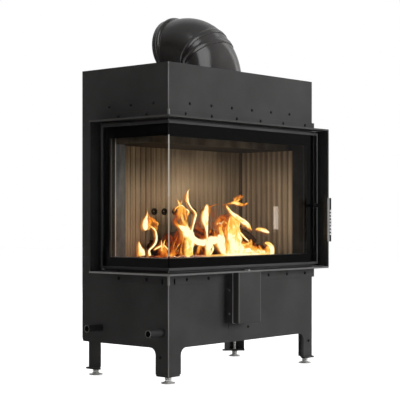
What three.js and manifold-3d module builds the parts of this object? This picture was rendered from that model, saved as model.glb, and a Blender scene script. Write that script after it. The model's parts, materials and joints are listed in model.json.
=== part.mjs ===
// Steel corner fireplace: a boxed steel fire chamber on four legs with an L-shaped glass door,
// a protruding trim round the door, an air box below it and a flue elbow on top.
// Millimetres. X runs to the right along the front, Y to the back, Z up.
// Places are given from the casing's front left corner on the floor, and the whole is centred at the end.
import * as THREE from "three";
import { mergeVertices } from "three/addons/utils/BufferGeometryUtils.js";
import Module from "manifold-3d";

// Fits that every piece shares
const fit = 0.3;
const overrun = 5;
const degree = Math.PI / 180;

// Casing
const casingWidth = 800;
const casingDepth = 415;
const floorClearance = 116;
const sheet = 3;
const bendRadius = 4.5;
const frontPostWidth = 52;
const leftPostWidth = 153;
const windowRight = casingWidth - frontPostWidth;
const windowRear = casingDepth - leftPostWidth;

// Levels of the door, of the window that it covers and of the trim and the hood above it
const doorFromFloorPlate = 260;
const doorHeight = 495;
const doorBottom = floorClearance + doorFromFloorPlate;
const doorTop = doorBottom + doorHeight;
const doorLapBelow = 36;
const doorLapAbove = 43;
const windowBottom = doorBottom + doorLapBelow;
const windowTop = doorTop - doorLapAbove;
const trimBelowDoor = 15;
const trimAboveDoor = 14;
const trimBottom = doorBottom - trimBelowDoor;
const trimTop = doorTop + trimAboveDoor;
const flangeDrop = 34;
const flangeRise = 25;
const flangeBottom = trimBottom - flangeDrop;
const flangeTop = trimTop + flangeRise;
const hoodHeight = 157;
const casingTop = flangeTop + hoodHeight;

// Legs, foot plates and levelling feet
const frontTabWidth = 61;
const sideTabWidth = 59;
const rightTabWidth = 54;
const tabRadius = 25;
const rearCornerRadius = 14;
const legWing = 56;
const legThickness = 3;
const legAboveClearance = 89;
const legTop = floorClearance + legAboveClearance;
const rearLegInset = 30;
const footPlateBottom = 22;
const footPlateThickness = 6;
const footPlateReach = 60;
const footPlateCorner = 7;
const footPlateLip = 10;
const footInset = 19;
const footPadRadius = 24;
const footPadCrown = 19.2;
const footPadEdge = 3;
const footPadHeight = 5;
const footNeckRadius = 11.5;
const footNeckTop = 9.2;
const footNeckChamfer = 2;
const footNeckHeight = 14;
const footRodRadius = 5.8;
const footRodTop = 78;

// Carrying sockets on the left side
const socketRadius = 13;
const socketWall = 2.5;
const socketLength = 67;
const socketInside = 18;
const socketAboveClearance = 53;
const socketHeight = floorClearance + socketAboveClearance;
const socketFrontPlace = 30;
const socketFromBack = 93;
const socketRearPlace = casingDepth - socketFromBack;

// Combustion air connection at the back
const airSpigotRadius = 50;
const airSpigotWall = 2;
const airSpigotLength = 40;
const airSpigotInside = 25;
const airSpigotAboveClearance = 119;
const airSpigotPlace = casingWidth / 2;
const airSpigotHeight = floorClearance + airSpigotAboveClearance;

// Trim round the door
const trimReach = 60;
const trimPastCasing = 26;
const trimBehindDoor = 16;
const hem = 6;
const hemDepth = 12;
const trimSheet = 2.5;
const flangePastCasing = 10;
const flangeBehindTrim = 8;
const cornerSlotWidth = 8;
const cornerSlotHeight = 20;
const cornerSlotEnd = 3.6;
const cornerSlotInset = 26;
const cornerSlotAboveFlange = 12;
const cornerSlotLevel = flangeBottom + cornerSlotAboveFlange;

// Door frame
const doorFace = 20;
const doorPastCasing = 10;
const doorBehindWindow = 39;
const doorRight = casingWidth + doorPastCasing;
const doorRear = windowRear + doorBehindWindow;
const trimRight = casingWidth + trimPastCasing;
const trimRear = doorRear + trimBehindDoor;
const flangeRight = casingWidth + flangePastCasing;
const flangeRear = trimRear + flangeBehindTrim;
const rimWidth = 8.5;
const handleRimWidth = 23.7;
const railWidth = 40;
const doorWeb = 3;
const doorWebEnd = 5.6;
const hingeBlockLength = 14;

// Glass
const glassThickness = 4;
const glassBevel = 3.2;

// Door seal
const ropeWidth = 11.7;
const ropeSqueeze = 0.6;

// Door hinge
const hingeAside = 12;
const hingeFromDoorEnd = 6;
const hingeBehind = doorRear - hingeFromDoorEnd;
const hingePinRadius = 4;
const hingeBoreRadius = 4.5;
const hingePinReach = 26;
const hingePlate = 4;
const hingePlateReach = 24;
const hingePlatePastPin = 14;
const topPlateLength = 140;
const bottomPlateLength = 78;
const hingePlateRear = hingeBehind + hingePlatePastPin;
const topPlateFront = hingePlateRear - topPlateLength;
const bottomPlateFront = hingePlateRear - bottomPlateLength;
const hingeHeadRadius = 7;
const hingeHeadHeight = 2;

// Handle, its shaft and the latch
const handleWidth = 24;
const handleDepth = 19;
const handleFront = 86;
const handleLength = 163;
const handleAboveAxis = 28;
const handleFromDoorEnd = 16;
const handleAboveDoorBottom = 221;
const handleAxisPlace = doorRight - handleFromDoorEnd;
const handleAxisHeight = doorBottom + handleAboveDoorBottom;
const handleTop = handleAxisHeight + handleAboveAxis;
const handleBottom = handleTop - handleLength;
const handleWall = 1.5;
const handleGroove = 12;
const handleGrooveWidth = 10;
const gripRibs = 8;
const gripPitch = 12.4;
const gripFromEnd = 27.5;
const gripLowest = handleBottom + gripFromEnd;
const gripRibHeight = 6.5;
const gripRibProud = 1.4;
const gripSideProud = 0.9;
const shaftRadius = 6;
const bushRadius = 10.5;
const bushRim = 8.9;
const bushShoulder = 4.5;
const bushHeight = 6;
const tongueThickness = 3;
const tongueHub = 8.5;
const tongueWidth = 11;
const tongueLength = 24;
const tongueFromCasing = 2.3;
const keeperLipDepth = 2.7;
const keeperLipGap = 1;
const keeperWidth = 13;
const keeperOverlap = 11;
const keeperPost = 5;

// Air box, flap and lever
const airBoxLeft = 296;
const airBoxRight = 417;
const airBoxHeight = 177;
const airBoxBottom = trimBottom - airBoxHeight;
const airBoxSeam = 28;
const airBoxDepth = 57;
const airBoxSheet = 2;
const airBoxCorner = 5;
const airBoxRim = 1.2;
const airBoxRimDepth = 2.4;
const airPortRadius = 30;
const airPortAboveBottom = 78;
const airPortHeight = airBoxBottom + airPortAboveBottom;
const flapRadius = 34;
const flapThickness = 2;
const flapFromCasing = 4.5;
const flapHangerWidth = 40;
const flapPinRadius = 3;
const flapPinAbovePort = 40;
const flapPinHeight = airPortHeight + flapPinAbovePort;
const airSlotWidth = 70;
const airSlotDepth = 14;
const leverPivotPastBox = 57;
const leverPivotPlace = airBoxRight + leverPivotPastBox;
const leverPivotAside = 33;
const leverReach = 137;
const leverTipPlace = leverPivotPlace - leverReach;
const linkSlotEnd = 3.6;
const leverWidth = 12;
const leverThickness = 3;
const leverTab = 10;
const leverTabReach = 66;
const leverPinRadius = 3.5;
const leverPinHead = 6;

// Fire chamber
const chamberBelowWindow = 32;
const chamberAboveWindow = 40;
const chamberBottom = windowBottom - chamberBelowWindow;
const chamberTop = windowTop + chamberAboveWindow;
const chamberPlate = 4;
const liningThickness = 30;
const liningInsideWindow = 3;
const liningBehindWindow = 45;
const liningBelowWindowTop = 23;
const liningRight = windowRight - liningInsideWindow;
const liningBack = windowRear + liningBehindWindow;
const liningLeft = 109;
const liningFront = 53;
const liningTop = windowTop - liningBelowWindowTop;
const ribPitch = 26.5;
const ribDepth = 7;
const hearthBelowWindow = 8;
const hearthTop = windowBottom - hearthBelowWindow;
const baffleThickness = 25;
const baffleFront = 95;
const retainerAboveHearth = 13;
const retainerTop = hearthTop + retainerAboveHearth;
const retainerInset = 14;
const pillarSheet = 3;
const pillarInset = 8;
const pillarFold = 42;
const airWashDepth = 18;
const airWashHeight = 24;

// Secondary air nozzles in the back lining
const nozzleCount = 6;
const nozzlePitch = 53;
const nozzleFromLining = 148;
const nozzleAboveHearth = 169;
const nozzleFirst = liningLeft + nozzleFromLining;
const nozzleHeight = hearthTop + nozzleAboveHearth;
const nozzleRadius = 13;
const nozzleBore = 7.5;
const nozzleMouth = 10.5;
const nozzleProud = 3;
const ductDepth = 18;
const ductHeight = 46;
const ductSheet = 2;

// Flue
const flueRadius = 100;
const flueFlare = 104.5;
const flueWall = 2.5;
const flueX = casingWidth / 2;
const flueY = 151;
const spigotRadius = flueFlare - flueWall - fit;
const spigotBelowTop = 67;
const socketBelowTop = 117;
const bendBelowTop = 15.5;
const spigotTop = casingTop - spigotBelowTop;
const stopHeight = 6;
const socketBottom = casingTop - socketBelowTop;
const bendStart = casingTop - bendBelowTop;
const flueBend = 138;
const outletLength = 74;
const firstSeam = 34.5 * degree;
const secondSeam = 46.6 * degree;
const seamLap = 6;
const seamStep = 2.6;
const beadRadius = 107;
const beadFromEnd = 30;
const beadHalfWidth = 12;
const hoodHoleRadius = 107;
const flueSides = 36;
const bendStep = 11 * degree;

const wasm = await Module();
wasm.setup();

// A closed three.js geometry as a solid, with its faces turned outwards.
function solid(geometry) {
  geometry.deleteAttribute("normal");
  geometry.deleteAttribute("uv");
  const merged = mergeVertices(geometry, 1e-4);
  const faces = merged.index.array;
  const triangles = [];
  for (let i = 0; i < faces.length; i += 3) {
    const [a, b, c] = [faces[i], faces[i + 1], faces[i + 2]];
    if (a !== b && b !== c && c !== a) triangles.push(a, b, c);
  }
  const vertProperties = merged.attributes.position.array;
  const made = new wasm.Manifold(
    new wasm.Mesh({ numProp: 3, vertProperties, triVerts: new Uint32Array(triangles) }),
  );
  if (made.volume() > 0) return made;
  const turned = new Uint32Array(triangles).reverse();
  return new wasm.Manifold(new wasm.Mesh({ numProp: 3, vertProperties, triVerts: turned }));
}

// A box between two corners.
function box(x0, x1, y0, y1, z0, z1) {
  const geometry = new THREE.BoxGeometry(x1 - x0, y1 - y0, z1 - z0);
  geometry.translate((x0 + x1) / 2, (y0 + y1) / 2, (z0 + z1) / 2);
  return solid(geometry);
}

// A closed outline from a list of corner points.
function outline(points) {
  return new THREE.Shape(points.map(([a, b]) => new THREE.Vector2(a, b)));
}

// An outline in plan (X, Y), standing from z0 to z1.
function standing(shape, z0, z1, curveSegments = 5) {
  const geometry = new THREE.ExtrudeGeometry(shape, { depth: z1 - z0, bevelEnabled: false, curveSegments });
  geometry.translate(0, 0, z0);
  return solid(geometry);
}

// An outline seen from the front (X, Z), reaching from y0 back to y1.
function frontal(shape, y0, y1, curveSegments = 5) {
  const geometry = new THREE.ExtrudeGeometry(shape, { depth: y1 - y0, bevelEnabled: false, curveSegments });
  geometry.rotateX(Math.PI / 2);
  geometry.translate(0, y1, 0);
  return solid(geometry);
}

// An outline seen from the side (Y, Z), reaching from x0 to x1.
function sideways(shape, x0, x1, curveSegments = 5) {
  const geometry = new THREE.ExtrudeGeometry(shape, { depth: x1 - x0, bevelEnabled: false, curveSegments });
  geometry.rotateX(Math.PI / 2);
  geometry.rotateZ(Math.PI / 2);
  geometry.translate(x0, 0, 0);
  return solid(geometry);
}

// A turned piece about an upright axis at (x, y), from a closed profile of [radius, height].
function turned(profile, x, y, sides = 24) {
  const geometry = new THREE.LatheGeometry(profile.map(([r, h]) => new THREE.Vector2(r, h)), sides);
  geometry.rotateX(Math.PI / 2);
  geometry.translate(x, y, 0);
  return solid(geometry);
}

// A turned piece about an axis along Y at (x, z), from a closed profile of [radius, y].
function turnedAlongY(profile, x, z, sides = 24) {
  const geometry = new THREE.LatheGeometry(profile.map(([r, h]) => new THREE.Vector2(r, h)), sides);
  geometry.translate(x, 0, z);
  return solid(geometry);
}

// A turned piece about an axis along X at (y, z), from a closed profile of [radius, x].
function turnedAlongX(profile, y, z, sides = 24) {
  const geometry = new THREE.LatheGeometry(profile.map(([r, h]) => new THREE.Vector2(r, h)), sides);
  geometry.rotateZ(-Math.PI / 2);
  geometry.translate(0, y, z);
  return solid(geometry);
}

// The profile of a round bar, and of a tube, between two heights.
function rodProfile(radius, low, high) {
  return [[0, low], [radius, low], [radius, high], [0, high]];
}
function tubeProfile(outer, inner, low, high) {
  return [[inner, low], [outer, low], [outer, high], [inner, high], [inner, low]];
}

function joined(...pieces) {
  return pieces.reduce((sum, piece) => sum.add(piece));
}

// A rectangle with rounded corners, for outlines and cutters.
function rounded(a0, a1, b0, b1, radius) {
  const shape = new THREE.Shape();
  shape.moveTo(a0 + radius, b0);
  shape.lineTo(a1 - radius, b0);
  shape.absarc(a1 - radius, b0 + radius, radius, -Math.PI / 2, 0, false);
  shape.lineTo(a1, b1 - radius);
  shape.absarc(a1 - radius, b1 - radius, radius, 0, Math.PI / 2, false);
  shape.lineTo(a0 + radius, b1);
  shape.absarc(a0 + radius, b1 - radius, radius, Math.PI / 2, Math.PI, false);
  shape.lineTo(a0, b0 + radius);
  shape.absarc(a0 + radius, b0 + radius, radius, Math.PI, 1.5 * Math.PI, false);
  return shape;
}

// A strip that runs along the front and round the left corner, between two distances
// outside the casing's faces.
function cornerStrip(outer, inner, xEnd, yEnd, z0, z1) {
  const plan = outline([
    [-outer, -outer], [xEnd, -outer], [xEnd, -inner], [-inner, -inner], [-inner, yEnd], [-outer, yEnd],
  ]);
  return standing(plan, z0, z1);
}

// The casing's bent sheet: the front and the left side in one piece, with a round bend.
function bentSheet(z0, z1) {
  const plan = new THREE.Shape();
  plan.moveTo(casingWidth, 0);
  plan.lineTo(bendRadius, 0);
  plan.absarc(bendRadius, bendRadius, bendRadius, -Math.PI / 2, -Math.PI, true);
  plan.lineTo(0, casingDepth);
  plan.lineTo(sheet, casingDepth);
  plan.lineTo(sheet, sheet);
  plan.lineTo(casingWidth, sheet);
  return standing(plan, z0, z1, 4);
}

const fireplace = new THREE.Group();
const colours = {
  paint: [0x3d3d3e, 0.55, 0.35],
  trim: [0x2e2e2f, 0.5, 0.35],
  zinc: [0xb9bbbd, 0.35, 0.9],
  steel: [0x8f9092, 0.35, 0.85],
  inside: [0x4a4744, 0.7, 0.3],
  lining: [0xb39a72, 0.95, 0],
  glass: [0x15171a, 0.08, 0.1],
  rope: [0x77736c, 0.95, 0],
  handle: [0xb4b4b3, 0.35, 0.8],
};

// Names a solid, gives it its finish and puts it in the fireplace.
function place(name, finish, piece) {
  const mesh = piece.getMesh();
  const geometry = new THREE.BufferGeometry();
  geometry.setAttribute("position", new THREE.BufferAttribute(mesh.vertProperties, 3));
  geometry.setIndex(new THREE.BufferAttribute(mesh.triVerts, 1));
  const [color, roughness, metalness] = colours[finish];
  const material = new THREE.MeshStandardMaterial({ color, roughness, metalness, flatShading: true });
  const node = new THREE.Mesh(geometry, material);
  node.name = name;
  fireplace.add(node);
}

// Casing sheets

const panelInside = sheet + fit;
const plateTop = footPlateBottom + footPlateThickness;
const tabBottom = plateTop + fit;

function cornerSlots() {
  const half = cornerSlotWidth / 2;
  const low = cornerSlotLevel - cornerSlotHeight / 2;
  const high = cornerSlotLevel + cornerSlotHeight / 2;
  const shape = rounded(cornerSlotInset - half, cornerSlotInset + half, low, high, cornerSlotEnd);
  return joined(
    frontal(shape, -overrun, sheet + overrun),
    sideways(shape, -overrun, sheet + overrun),
  );
}

// The holes that the carrying sockets pass through, in the casing and in the legs' wings.
function socketPassages() {
  const passage = (y) => turnedAlongX(
    rodProfile(socketRadius + fit, -overrun, panelInside + legThickness + overrun), y, socketHeight, 20,
  );
  return joined(passage(socketFrontPlace), passage(socketRearPlace));
}

function baseShell() {
  const below = tabBottom - overrun;
  const frontGap = rounded(frontTabWidth, casingWidth - rightTabWidth, below - tabRadius, floorClearance, tabRadius);
  const sideGap = rounded(
    sideTabWidth, casingDepth + overrun + tabRadius, below - tabRadius, floorClearance, tabRadius,
  );
  const rearCorner = box(
    -overrun, bendRadius, casingDepth - rearCornerRadius, casingDepth + overrun,
    floorClearance - overrun, floorClearance + rearCornerRadius,
  ).subtract(turnedAlongX(
    rodProfile(rearCornerRadius, -overrun, bendRadius),
    casingDepth - rearCornerRadius, floorClearance + rearCornerRadius,
  ));
  return bentSheet(tabBottom, windowBottom)
    .subtract(frontal(frontGap, -overrun, sheet + overrun))
    .subtract(sideways(sideGap, -overrun, sheet + overrun))
    .subtract(rearCorner)
    .subtract(cornerSlots())
    .subtract(socketPassages())
    .subtract(turnedAlongY(rodProfile(airPortRadius, -overrun, sheet + overrun), airBoxMiddle, airPortHeight));
}

const airBoxMiddle = (airBoxLeft + airBoxRight) / 2;
place("base_shell", "paint", baseShell());
place("hood_shell", "paint", bentSheet(windowTop, casingTop));
place("front_post", "paint", box(
  windowRight, casingWidth, 0, sheet, windowBottom + fit, windowTop - fit,
));
place("left_post", "paint", box(
  0, sheet, windowRear, casingDepth, windowBottom + fit, windowTop - fit,
));

function rightPanel() {
  const corner = rearCornerRadius;
  const shape = new THREE.Shape();
  shape.moveTo(panelInside, floorClearance);
  shape.lineTo(casingDepth - corner, floorClearance);
  shape.absarc(casingDepth - corner, floorClearance + corner, corner, -Math.PI / 2, 0, false);
  shape.lineTo(casingDepth, casingTop);
  shape.lineTo(panelInside, casingTop);
  return sideways(shape, casingWidth - sheet, casingWidth);
}
place("right_panel", "paint", rightPanel());

place("back_panel", "paint", box(
  panelInside, casingWidth - panelInside, casingDepth - sheet, casingDepth, floorClearance, casingTop,
).subtract(turnedAlongY(
  rodProfile(airSpigotRadius + fit, casingDepth - sheet - overrun, casingDepth + overrun),
  airSpigotPlace, airSpigotHeight, 32,
)));

// Legs: each is an angle section with its heel at a corner, its wings turned to a and b,
// welded on a foot plate.

const legHeels = {
  front_left: [panelInside, panelInside, 1, 1],
  front_right: [casingWidth - panelInside, panelInside, -1, 1],
  rear_left: [panelInside, casingDepth - rearLegInset, 1, -1],
  rear_right: [casingWidth - panelInside, casingDepth - rearLegInset, -1, -1],
};
const plateLips = { front_left: "none", front_right: "front", rear_left: "side", rear_right: "rear" };

function legAngle(x, y, a, b, grow) {
  const plan = outline([
    [x - a * grow, y - b * grow],
    [x + a * (legWing + grow), y - b * grow],
    [x + a * (legWing + grow), y + b * (legThickness + grow)],
    [x + a * (legThickness + grow), y + b * (legThickness + grow)],
    [x + a * (legThickness + grow), y + b * (legWing + grow)],
    [x - a * grow, y + b * (legWing + grow)],
  ]);
  return plan;
}

const floorInside = [panelInside, casingWidth - panelInside, panelInside, casingDepth - panelInside];
let baseFloor = box(...floorInside, floorClearance, floorClearance + sheet);

for (const [corner, [x, y, a, b]] of Object.entries(legHeels)) {
  const angle = standing(legAngle(x, y, a, b, 0), footPlateBottom, legTop).subtract(socketPassages());
  baseFloor = baseFloor.subtract(
    standing(legAngle(x, y, a, b, fit), floorClearance - overrun, floorClearance + sheet + overrun),
  );

  // Foot plate: a gusset under the leg, flush with the casing's outer faces at the front.
  const px = a > 0 ? 0 : casingWidth;
  const py = b > 0 ? 0 : y;
  const lip = plateLips[corner];
  const c = footPlateCorner;
  const plan = new THREE.Shape();
  const at = (u, v) => [px + a * u, py + b * v];
  plan.moveTo(...at(0, 0));
  plan.lineTo(...at(footPlateReach - c, 0));
  plan.quadraticCurveTo(...at(footPlateReach, 0), ...at(footPlateReach - c, c));
  plan.lineTo(...at(c, footPlateReach - c));
  plan.quadraticCurveTo(...at(0, footPlateReach), ...at(0, footPlateReach - c));
  let plate = standing(plan, footPlateBottom, plateTop);
  const tongue = {
    front: () => box(casingWidth - footPlateReach, casingWidth, -footPlateLip, sheet, footPlateBottom, plateTop),
    side: () => box(-footPlateLip, sheet, py - footPlateReach, py, footPlateBottom, plateTop),
    rear: () => box(casingWidth - footPlateReach, casingWidth, py - sheet, py + footPlateLip, footPlateBottom, plateTop),
  };
  if (lip !== "none") plate = plate.add(tongue[lip]());
  const fx = px + a * footInset;
  const fy = py + b * footInset;
  const bore = rodProfile(footRodRadius + fit, footPlateBottom - overrun, plateTop + overrun);
  place(`leg_${corner}`, "paint", angle.add(plate).subtract(turned(bore, fx, fy, 16)));

  // Levelling foot: pad, ball neck and rod in one forging.
  place(`foot_${corner}`, "zinc", turned([
    [0, 0],
    [footPadRadius, 0],
    [footPadRadius, footPadEdge],
    [footPadCrown, footPadHeight],
    [footNeckRadius, footPadHeight],
    [footNeckRadius, footNeckHeight - footNeckChamfer],
    [footNeckTop, footNeckHeight],
    [footRodRadius, footNeckHeight],
    [footRodRadius, footRodTop],
    [0, footRodTop],
  ], fx, fy, 16));
}
place("base_floor", "paint", baseFloor);

// Carrying sockets and the air connection

for (const [name, y] of [["front", socketFrontPlace], ["rear", socketRearPlace]]) {
  place(`carry_socket_${name}`, "paint", turnedAlongX(
    tubeProfile(socketRadius, socketRadius - socketWall, -socketLength, socketInside), y, socketHeight, 20,
  ));
}
place("air_spigot", "paint", turnedAlongY(
  tubeProfile(
    airSpigotRadius, airSpigotRadius - airSpigotWall,
    casingDepth - airSpigotInside, casingDepth + airSpigotLength,
  ),
  airSpigotPlace, airSpigotHeight, 32,
));

// Trim: four folded sheets that stand out round the door, on strips screwed to the casing.

place("flange_top", "paint", cornerStrip(
  sheet + fit, fit, flangeRight, flangeRear, trimTop + fit, flangeTop,
));
place("flange_bottom", "paint", cornerStrip(
  sheet + fit, fit, flangeRight, flangeRear, flangeBottom, trimBottom - fit,
).subtract(cornerSlots()));

function trimShelf(z0, z1, hemLow, hemHigh) {
  return joined(
    cornerStrip(trimReach, fit, trimRight, trimRear, z0, z1),
    cornerStrip(trimReach, trimReach - hemDepth, trimRight, trimRear, hemLow, hemHigh),
  );
}
place("trim_top", "trim", trimShelf(trimTop - hem, trimTop - hem + trimSheet, trimTop - hem, trimTop));

function linkSlot() {
  const y = -leverPivotAside;
  const half = leverPinRadius + fit;
  return rounded(leverPivotPlace - half, leverPivotPlace + half, y - half, y + half, linkSlotEnd);
}
place("trim_bottom", "trim", trimShelf(
  trimBottom + hem - trimSheet, trimBottom + hem, trimBottom, trimBottom + hem,
).subtract(standing(linkSlot(), trimBottom - overrun, trimBottom + hem + overrun)));

const shelfBottom = trimBottom + hem + fit;
const shelfTop = trimTop - hem - fit;
place("trim_right", "trim", standing(outline([
  [trimRight, -trimReach],
  [trimRight, sheet],
  [casingWidth + fit, sheet],
  [casingWidth + fit, 0],
  [trimRight - trimSheet, 0],
  [trimRight - trimSheet, hemDepth - trimReach],
  [trimRight - hem, hemDepth - trimReach],
  [trimRight - hem, -trimReach],
]), shelfBottom, shelfTop));
place("trim_rear", "trim", standing(outline([
  [-trimReach, trimRear],
  [-trimReach, trimRear - hem],
  [hemDepth - trimReach, trimRear - hem],
  [hemDepth - trimReach, trimRear - trimSheet],
  [-sheet - fit, trimRear - trimSheet],
  [-fit, trimRear - trimSheet],
  [-fit, flangeRear],
  [-sheet - fit, flangeRear],
  [-sheet - fit, trimRear],
]), shelfBottom, shelfTop));

// Door frame: two rails round the corner and two stiles, each a channel behind the glass.

const ledgeFront = doorFace - glassThickness - fit;
const ledgeBack = ledgeFront - doorWeb;
const glassRight = doorRight - handleRimWidth;
const glassRear = doorRear - rimWidth;
const sealInset = railWidth - doorWeb - fit - ropeWidth;
const sealRight = doorRight - sealInset;
const sealRear = doorRear - sealInset;

// outside is the rail's outer edge in height, and inward is +1 or -1 towards the glass.
function doorRail(outside, inward) {
  const span = (from, to) => [outside + inward * from, outside + inward * to].sort((p, q) => p - q);
  const strip = (outer, inner, from, to) => cornerStrip(outer, inner, doorRight, doorRear, ...span(from, to));
  const webHeights = span(railWidth - doorWeb - fit, railWidth + overrun);
  return joined(
    strip(doorFace, doorWebEnd, 0, doorWeb),
    strip(doorFace, ledgeBack, 0, rimWidth),
    strip(ledgeFront, ledgeBack, 0, railWidth),
    strip(ledgeBack, doorWebEnd, railWidth - doorWeb, railWidth),
    box(glassRight + fit, doorRight, -doorFace, -ledgeBack, ...span(0, railWidth)),
    box(doorRight - doorWeb, doorRight, -doorFace, -doorWebEnd, ...span(0, railWidth)),
    box(-doorFace, -ledgeBack, glassRear + fit, doorRear, ...span(0, railWidth)),
    box(-ledgeFront, -doorWebEnd, doorRear - hingeBlockLength, doorRear, ...span(0, railWidth - doorWeb)),
  ).subtract(turned(
    rodProfile(hingeBoreRadius, ...span(-overrun, railWidth - doorWeb - fit)), -hingeAside, hingeBehind, 20,
  )).subtract(box(
    sealRight - ropeWidth - fit, sealRight + fit, -ledgeBack, overrun, ...webHeights,
  )).subtract(box(
    -ledgeBack, overrun, sealRear - ropeWidth - fit, sealRear + fit, ...webHeights,
  ));
}
place("door_rail_top", "trim", doorRail(doorTop, -1));
place("door_rail_bottom", "trim", doorRail(doorBottom, 1));

const stileBottom = doorBottom + railWidth + fit;
const stileTop = doorTop - railWidth - fit;
place("door_stile_right", "trim", joined(
  box(glassRight + fit, doorRight, -doorFace, -ledgeBack, stileBottom, stileTop),
  box(doorRight - railWidth, doorRight, -ledgeFront, -ledgeBack, stileBottom, stileTop),
  box(doorRight - doorWeb, doorRight, -ledgeBack, -doorWebEnd, stileBottom, stileTop),
  box(doorRight - railWidth, doorRight - railWidth + doorWeb, -ledgeBack, -doorWebEnd, stileBottom, stileTop),
).subtract(turnedAlongY(
  rodProfile(shaftRadius + fit, -doorFace - overrun, -doorWebEnd + overrun), handleAxisPlace, handleAxisHeight, 20,
)));
place("door_stile_rear", "trim", joined(
  box(-doorFace, -ledgeBack, glassRear + fit, doorRear, stileBottom, stileTop),
  box(-ledgeFront, -ledgeBack, doorRear - railWidth, doorRear, stileBottom, stileTop),
  box(-ledgeBack, -doorWebEnd, doorRear - doorWeb, doorRear, stileBottom, stileTop),
  box(-ledgeBack, -doorWebEnd, doorRear - railWidth, doorRear - railWidth + doorWeb, stileBottom, stileTop),
));

// Glass: two panes that meet in a ground mitre at the corner.

const paneBottom = doorBottom + rimWidth + fit;
const paneTop = doorTop - rimWidth - fit;
const paneBack = doorFace - glassThickness;
place("glass_front", "glass", standing(outline([
  [-doorFace + glassBevel, -doorFace],
  [glassRight, -doorFace],
  [glassRight, -paneBack],
  [-paneBack + fit, -paneBack],
  [-doorFace + glassBevel / 2 + fit, -doorFace + glassBevel / 2],
]), paneBottom, paneTop));
place("glass_side", "glass", standing(outline([
  [-doorFace, -doorFace + glassBevel],
  [-doorFace + glassBevel / 2, -doorFace + glassBevel / 2 + fit],
  [-paneBack, -paneBack + fit],
  [-paneBack, glassRear],
  [-doorFace, glassRear],
]), paneBottom, paneTop));

// Door seal: one rope loop in the frame's channel, pressed on the casing round the opening.

function doorSeal() {
  const outer = ledgeBack - fit;
  const low = doorBottom + sealInset;
  const high = doorTop - sealInset;
  return joined(
    cornerStrip(outer, ropeSqueeze, sealRight, sealRear, high - ropeWidth, high),
    cornerStrip(outer, ropeSqueeze, sealRight, sealRear, low, low + ropeWidth),
    box(sealRight - ropeWidth, sealRight, -outer, -ropeSqueeze, low, high),
    box(-outer, -ropeSqueeze, sealRear - ropeWidth, sealRear, low, high),
  );
}
place("door_seal", "rope", doorSeal());

// Hinges: a plate on the casing above and below the door, each with a riveted pin into the frame.

function hingePlateAt(front, z0) {
  const c = hingePlateRear - hingeBehind;
  const plan = outline([
    [-fit, front],
    [-fit, hingePlateRear],
    [-hingePlateReach + c / 2, hingePlateRear],
    [-hingePlateReach, hingePlateRear - c / 2],
    [-hingePlateReach, hingeBehind - c],
    [-hingePlateReach + c, front],
  ]);
  return standing(plan, z0, z0 + hingePlate);
}
const topPlateLevel = doorTop + fit + (trimTop - hem - doorTop - hingePlate - hingeHeadHeight - 2 * fit) / 2;
const topHead = topPlateLevel + hingePlate;
place("hinge_top", "steel", hingePlateAt(topPlateFront, topPlateLevel).add(turned([
  [0, doorTop - hingePinReach],
  [hingePinRadius, doorTop - hingePinReach],
  [hingePinRadius, topHead],
  [hingeHeadRadius, topHead],
  [hingeHeadRadius, topHead + hingeHeadHeight],
  [0, topHead + hingeHeadHeight],
], -hingeAside, hingeBehind, 20)));

const bottomPlateLevel = shelfBottom;
place("hinge_bottom", "steel", hingePlateAt(bottomPlateFront, bottomPlateLevel).add(turned(
  rodProfile(hingePinRadius, bottomPlateLevel, doorBottom + hingePinReach), -hingeAside, hingeBehind, 20,
)));
const washerBottom = bottomPlateLevel + hingePlate + fit;
place("hinge_washer", "steel", turned(
  tubeProfile(hingeHeadRadius, hingePinRadius + fit, washerBottom, doorBottom - fit),
  -hingeAside, hingeBehind, 20,
));

// Handle: a grooved square bar with grip ribs, on a shaft that turns the latch tongue.

function handleBar() {
  const left = handleAxisPlace - handleWidth / 2;
  const right = handleAxisPlace + handleWidth / 2;
  const back = handleDepth - handleFront;
  const corner = handleWall;
  const plan = rounded(left, right, -handleFront, back, corner);
  const grooveRight = right - handleWall;
  const grooveLeft = grooveRight - handleGrooveWidth;
  let bar = standing(plan, handleBottom, handleTop, 3).subtract(box(
    grooveLeft, grooveRight, -handleFront - overrun, handleGroove - handleFront,
    handleBottom - overrun, handleTop + overrun,
  ));
  for (let i = 0; i < gripRibs; i++) {
    const z = gripLowest + i * gripPitch;
    const rib = rounded(
      grooveLeft - handleWall, right + gripRibProud, -handleFront - gripRibProud / 2, back - corner, corner,
    );
    const sideRib = rounded(
      left - gripSideProud, left + handleWall, handleWall - handleFront, back - handleWall, gripSideProud,
    );
    for (const piece of [rib, sideRib]) {
      bar = bar.add(standing(piece, z - gripRibHeight / 2, z + gripRibHeight / 2, 1));
    }
  }
  return bar;
}
place("handle_grip", "handle", handleBar());
const handleBack = handleDepth - handleFront;
const tongueFront = tongueFromCasing + tongueThickness;
place("handle_bush", "steel", turnedAlongY([
  [shaftRadius + fit, -doorFace - fit],
  [bushRadius, -doorFace - fit],
  [bushRadius, -doorFace - bushShoulder],
  [bushRim, -doorFace - bushHeight],
  [shaftRadius + fit, -doorFace - bushHeight],
  [shaftRadius + fit, -doorFace - fit],
], handleAxisPlace, handleAxisHeight, 20));

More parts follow.
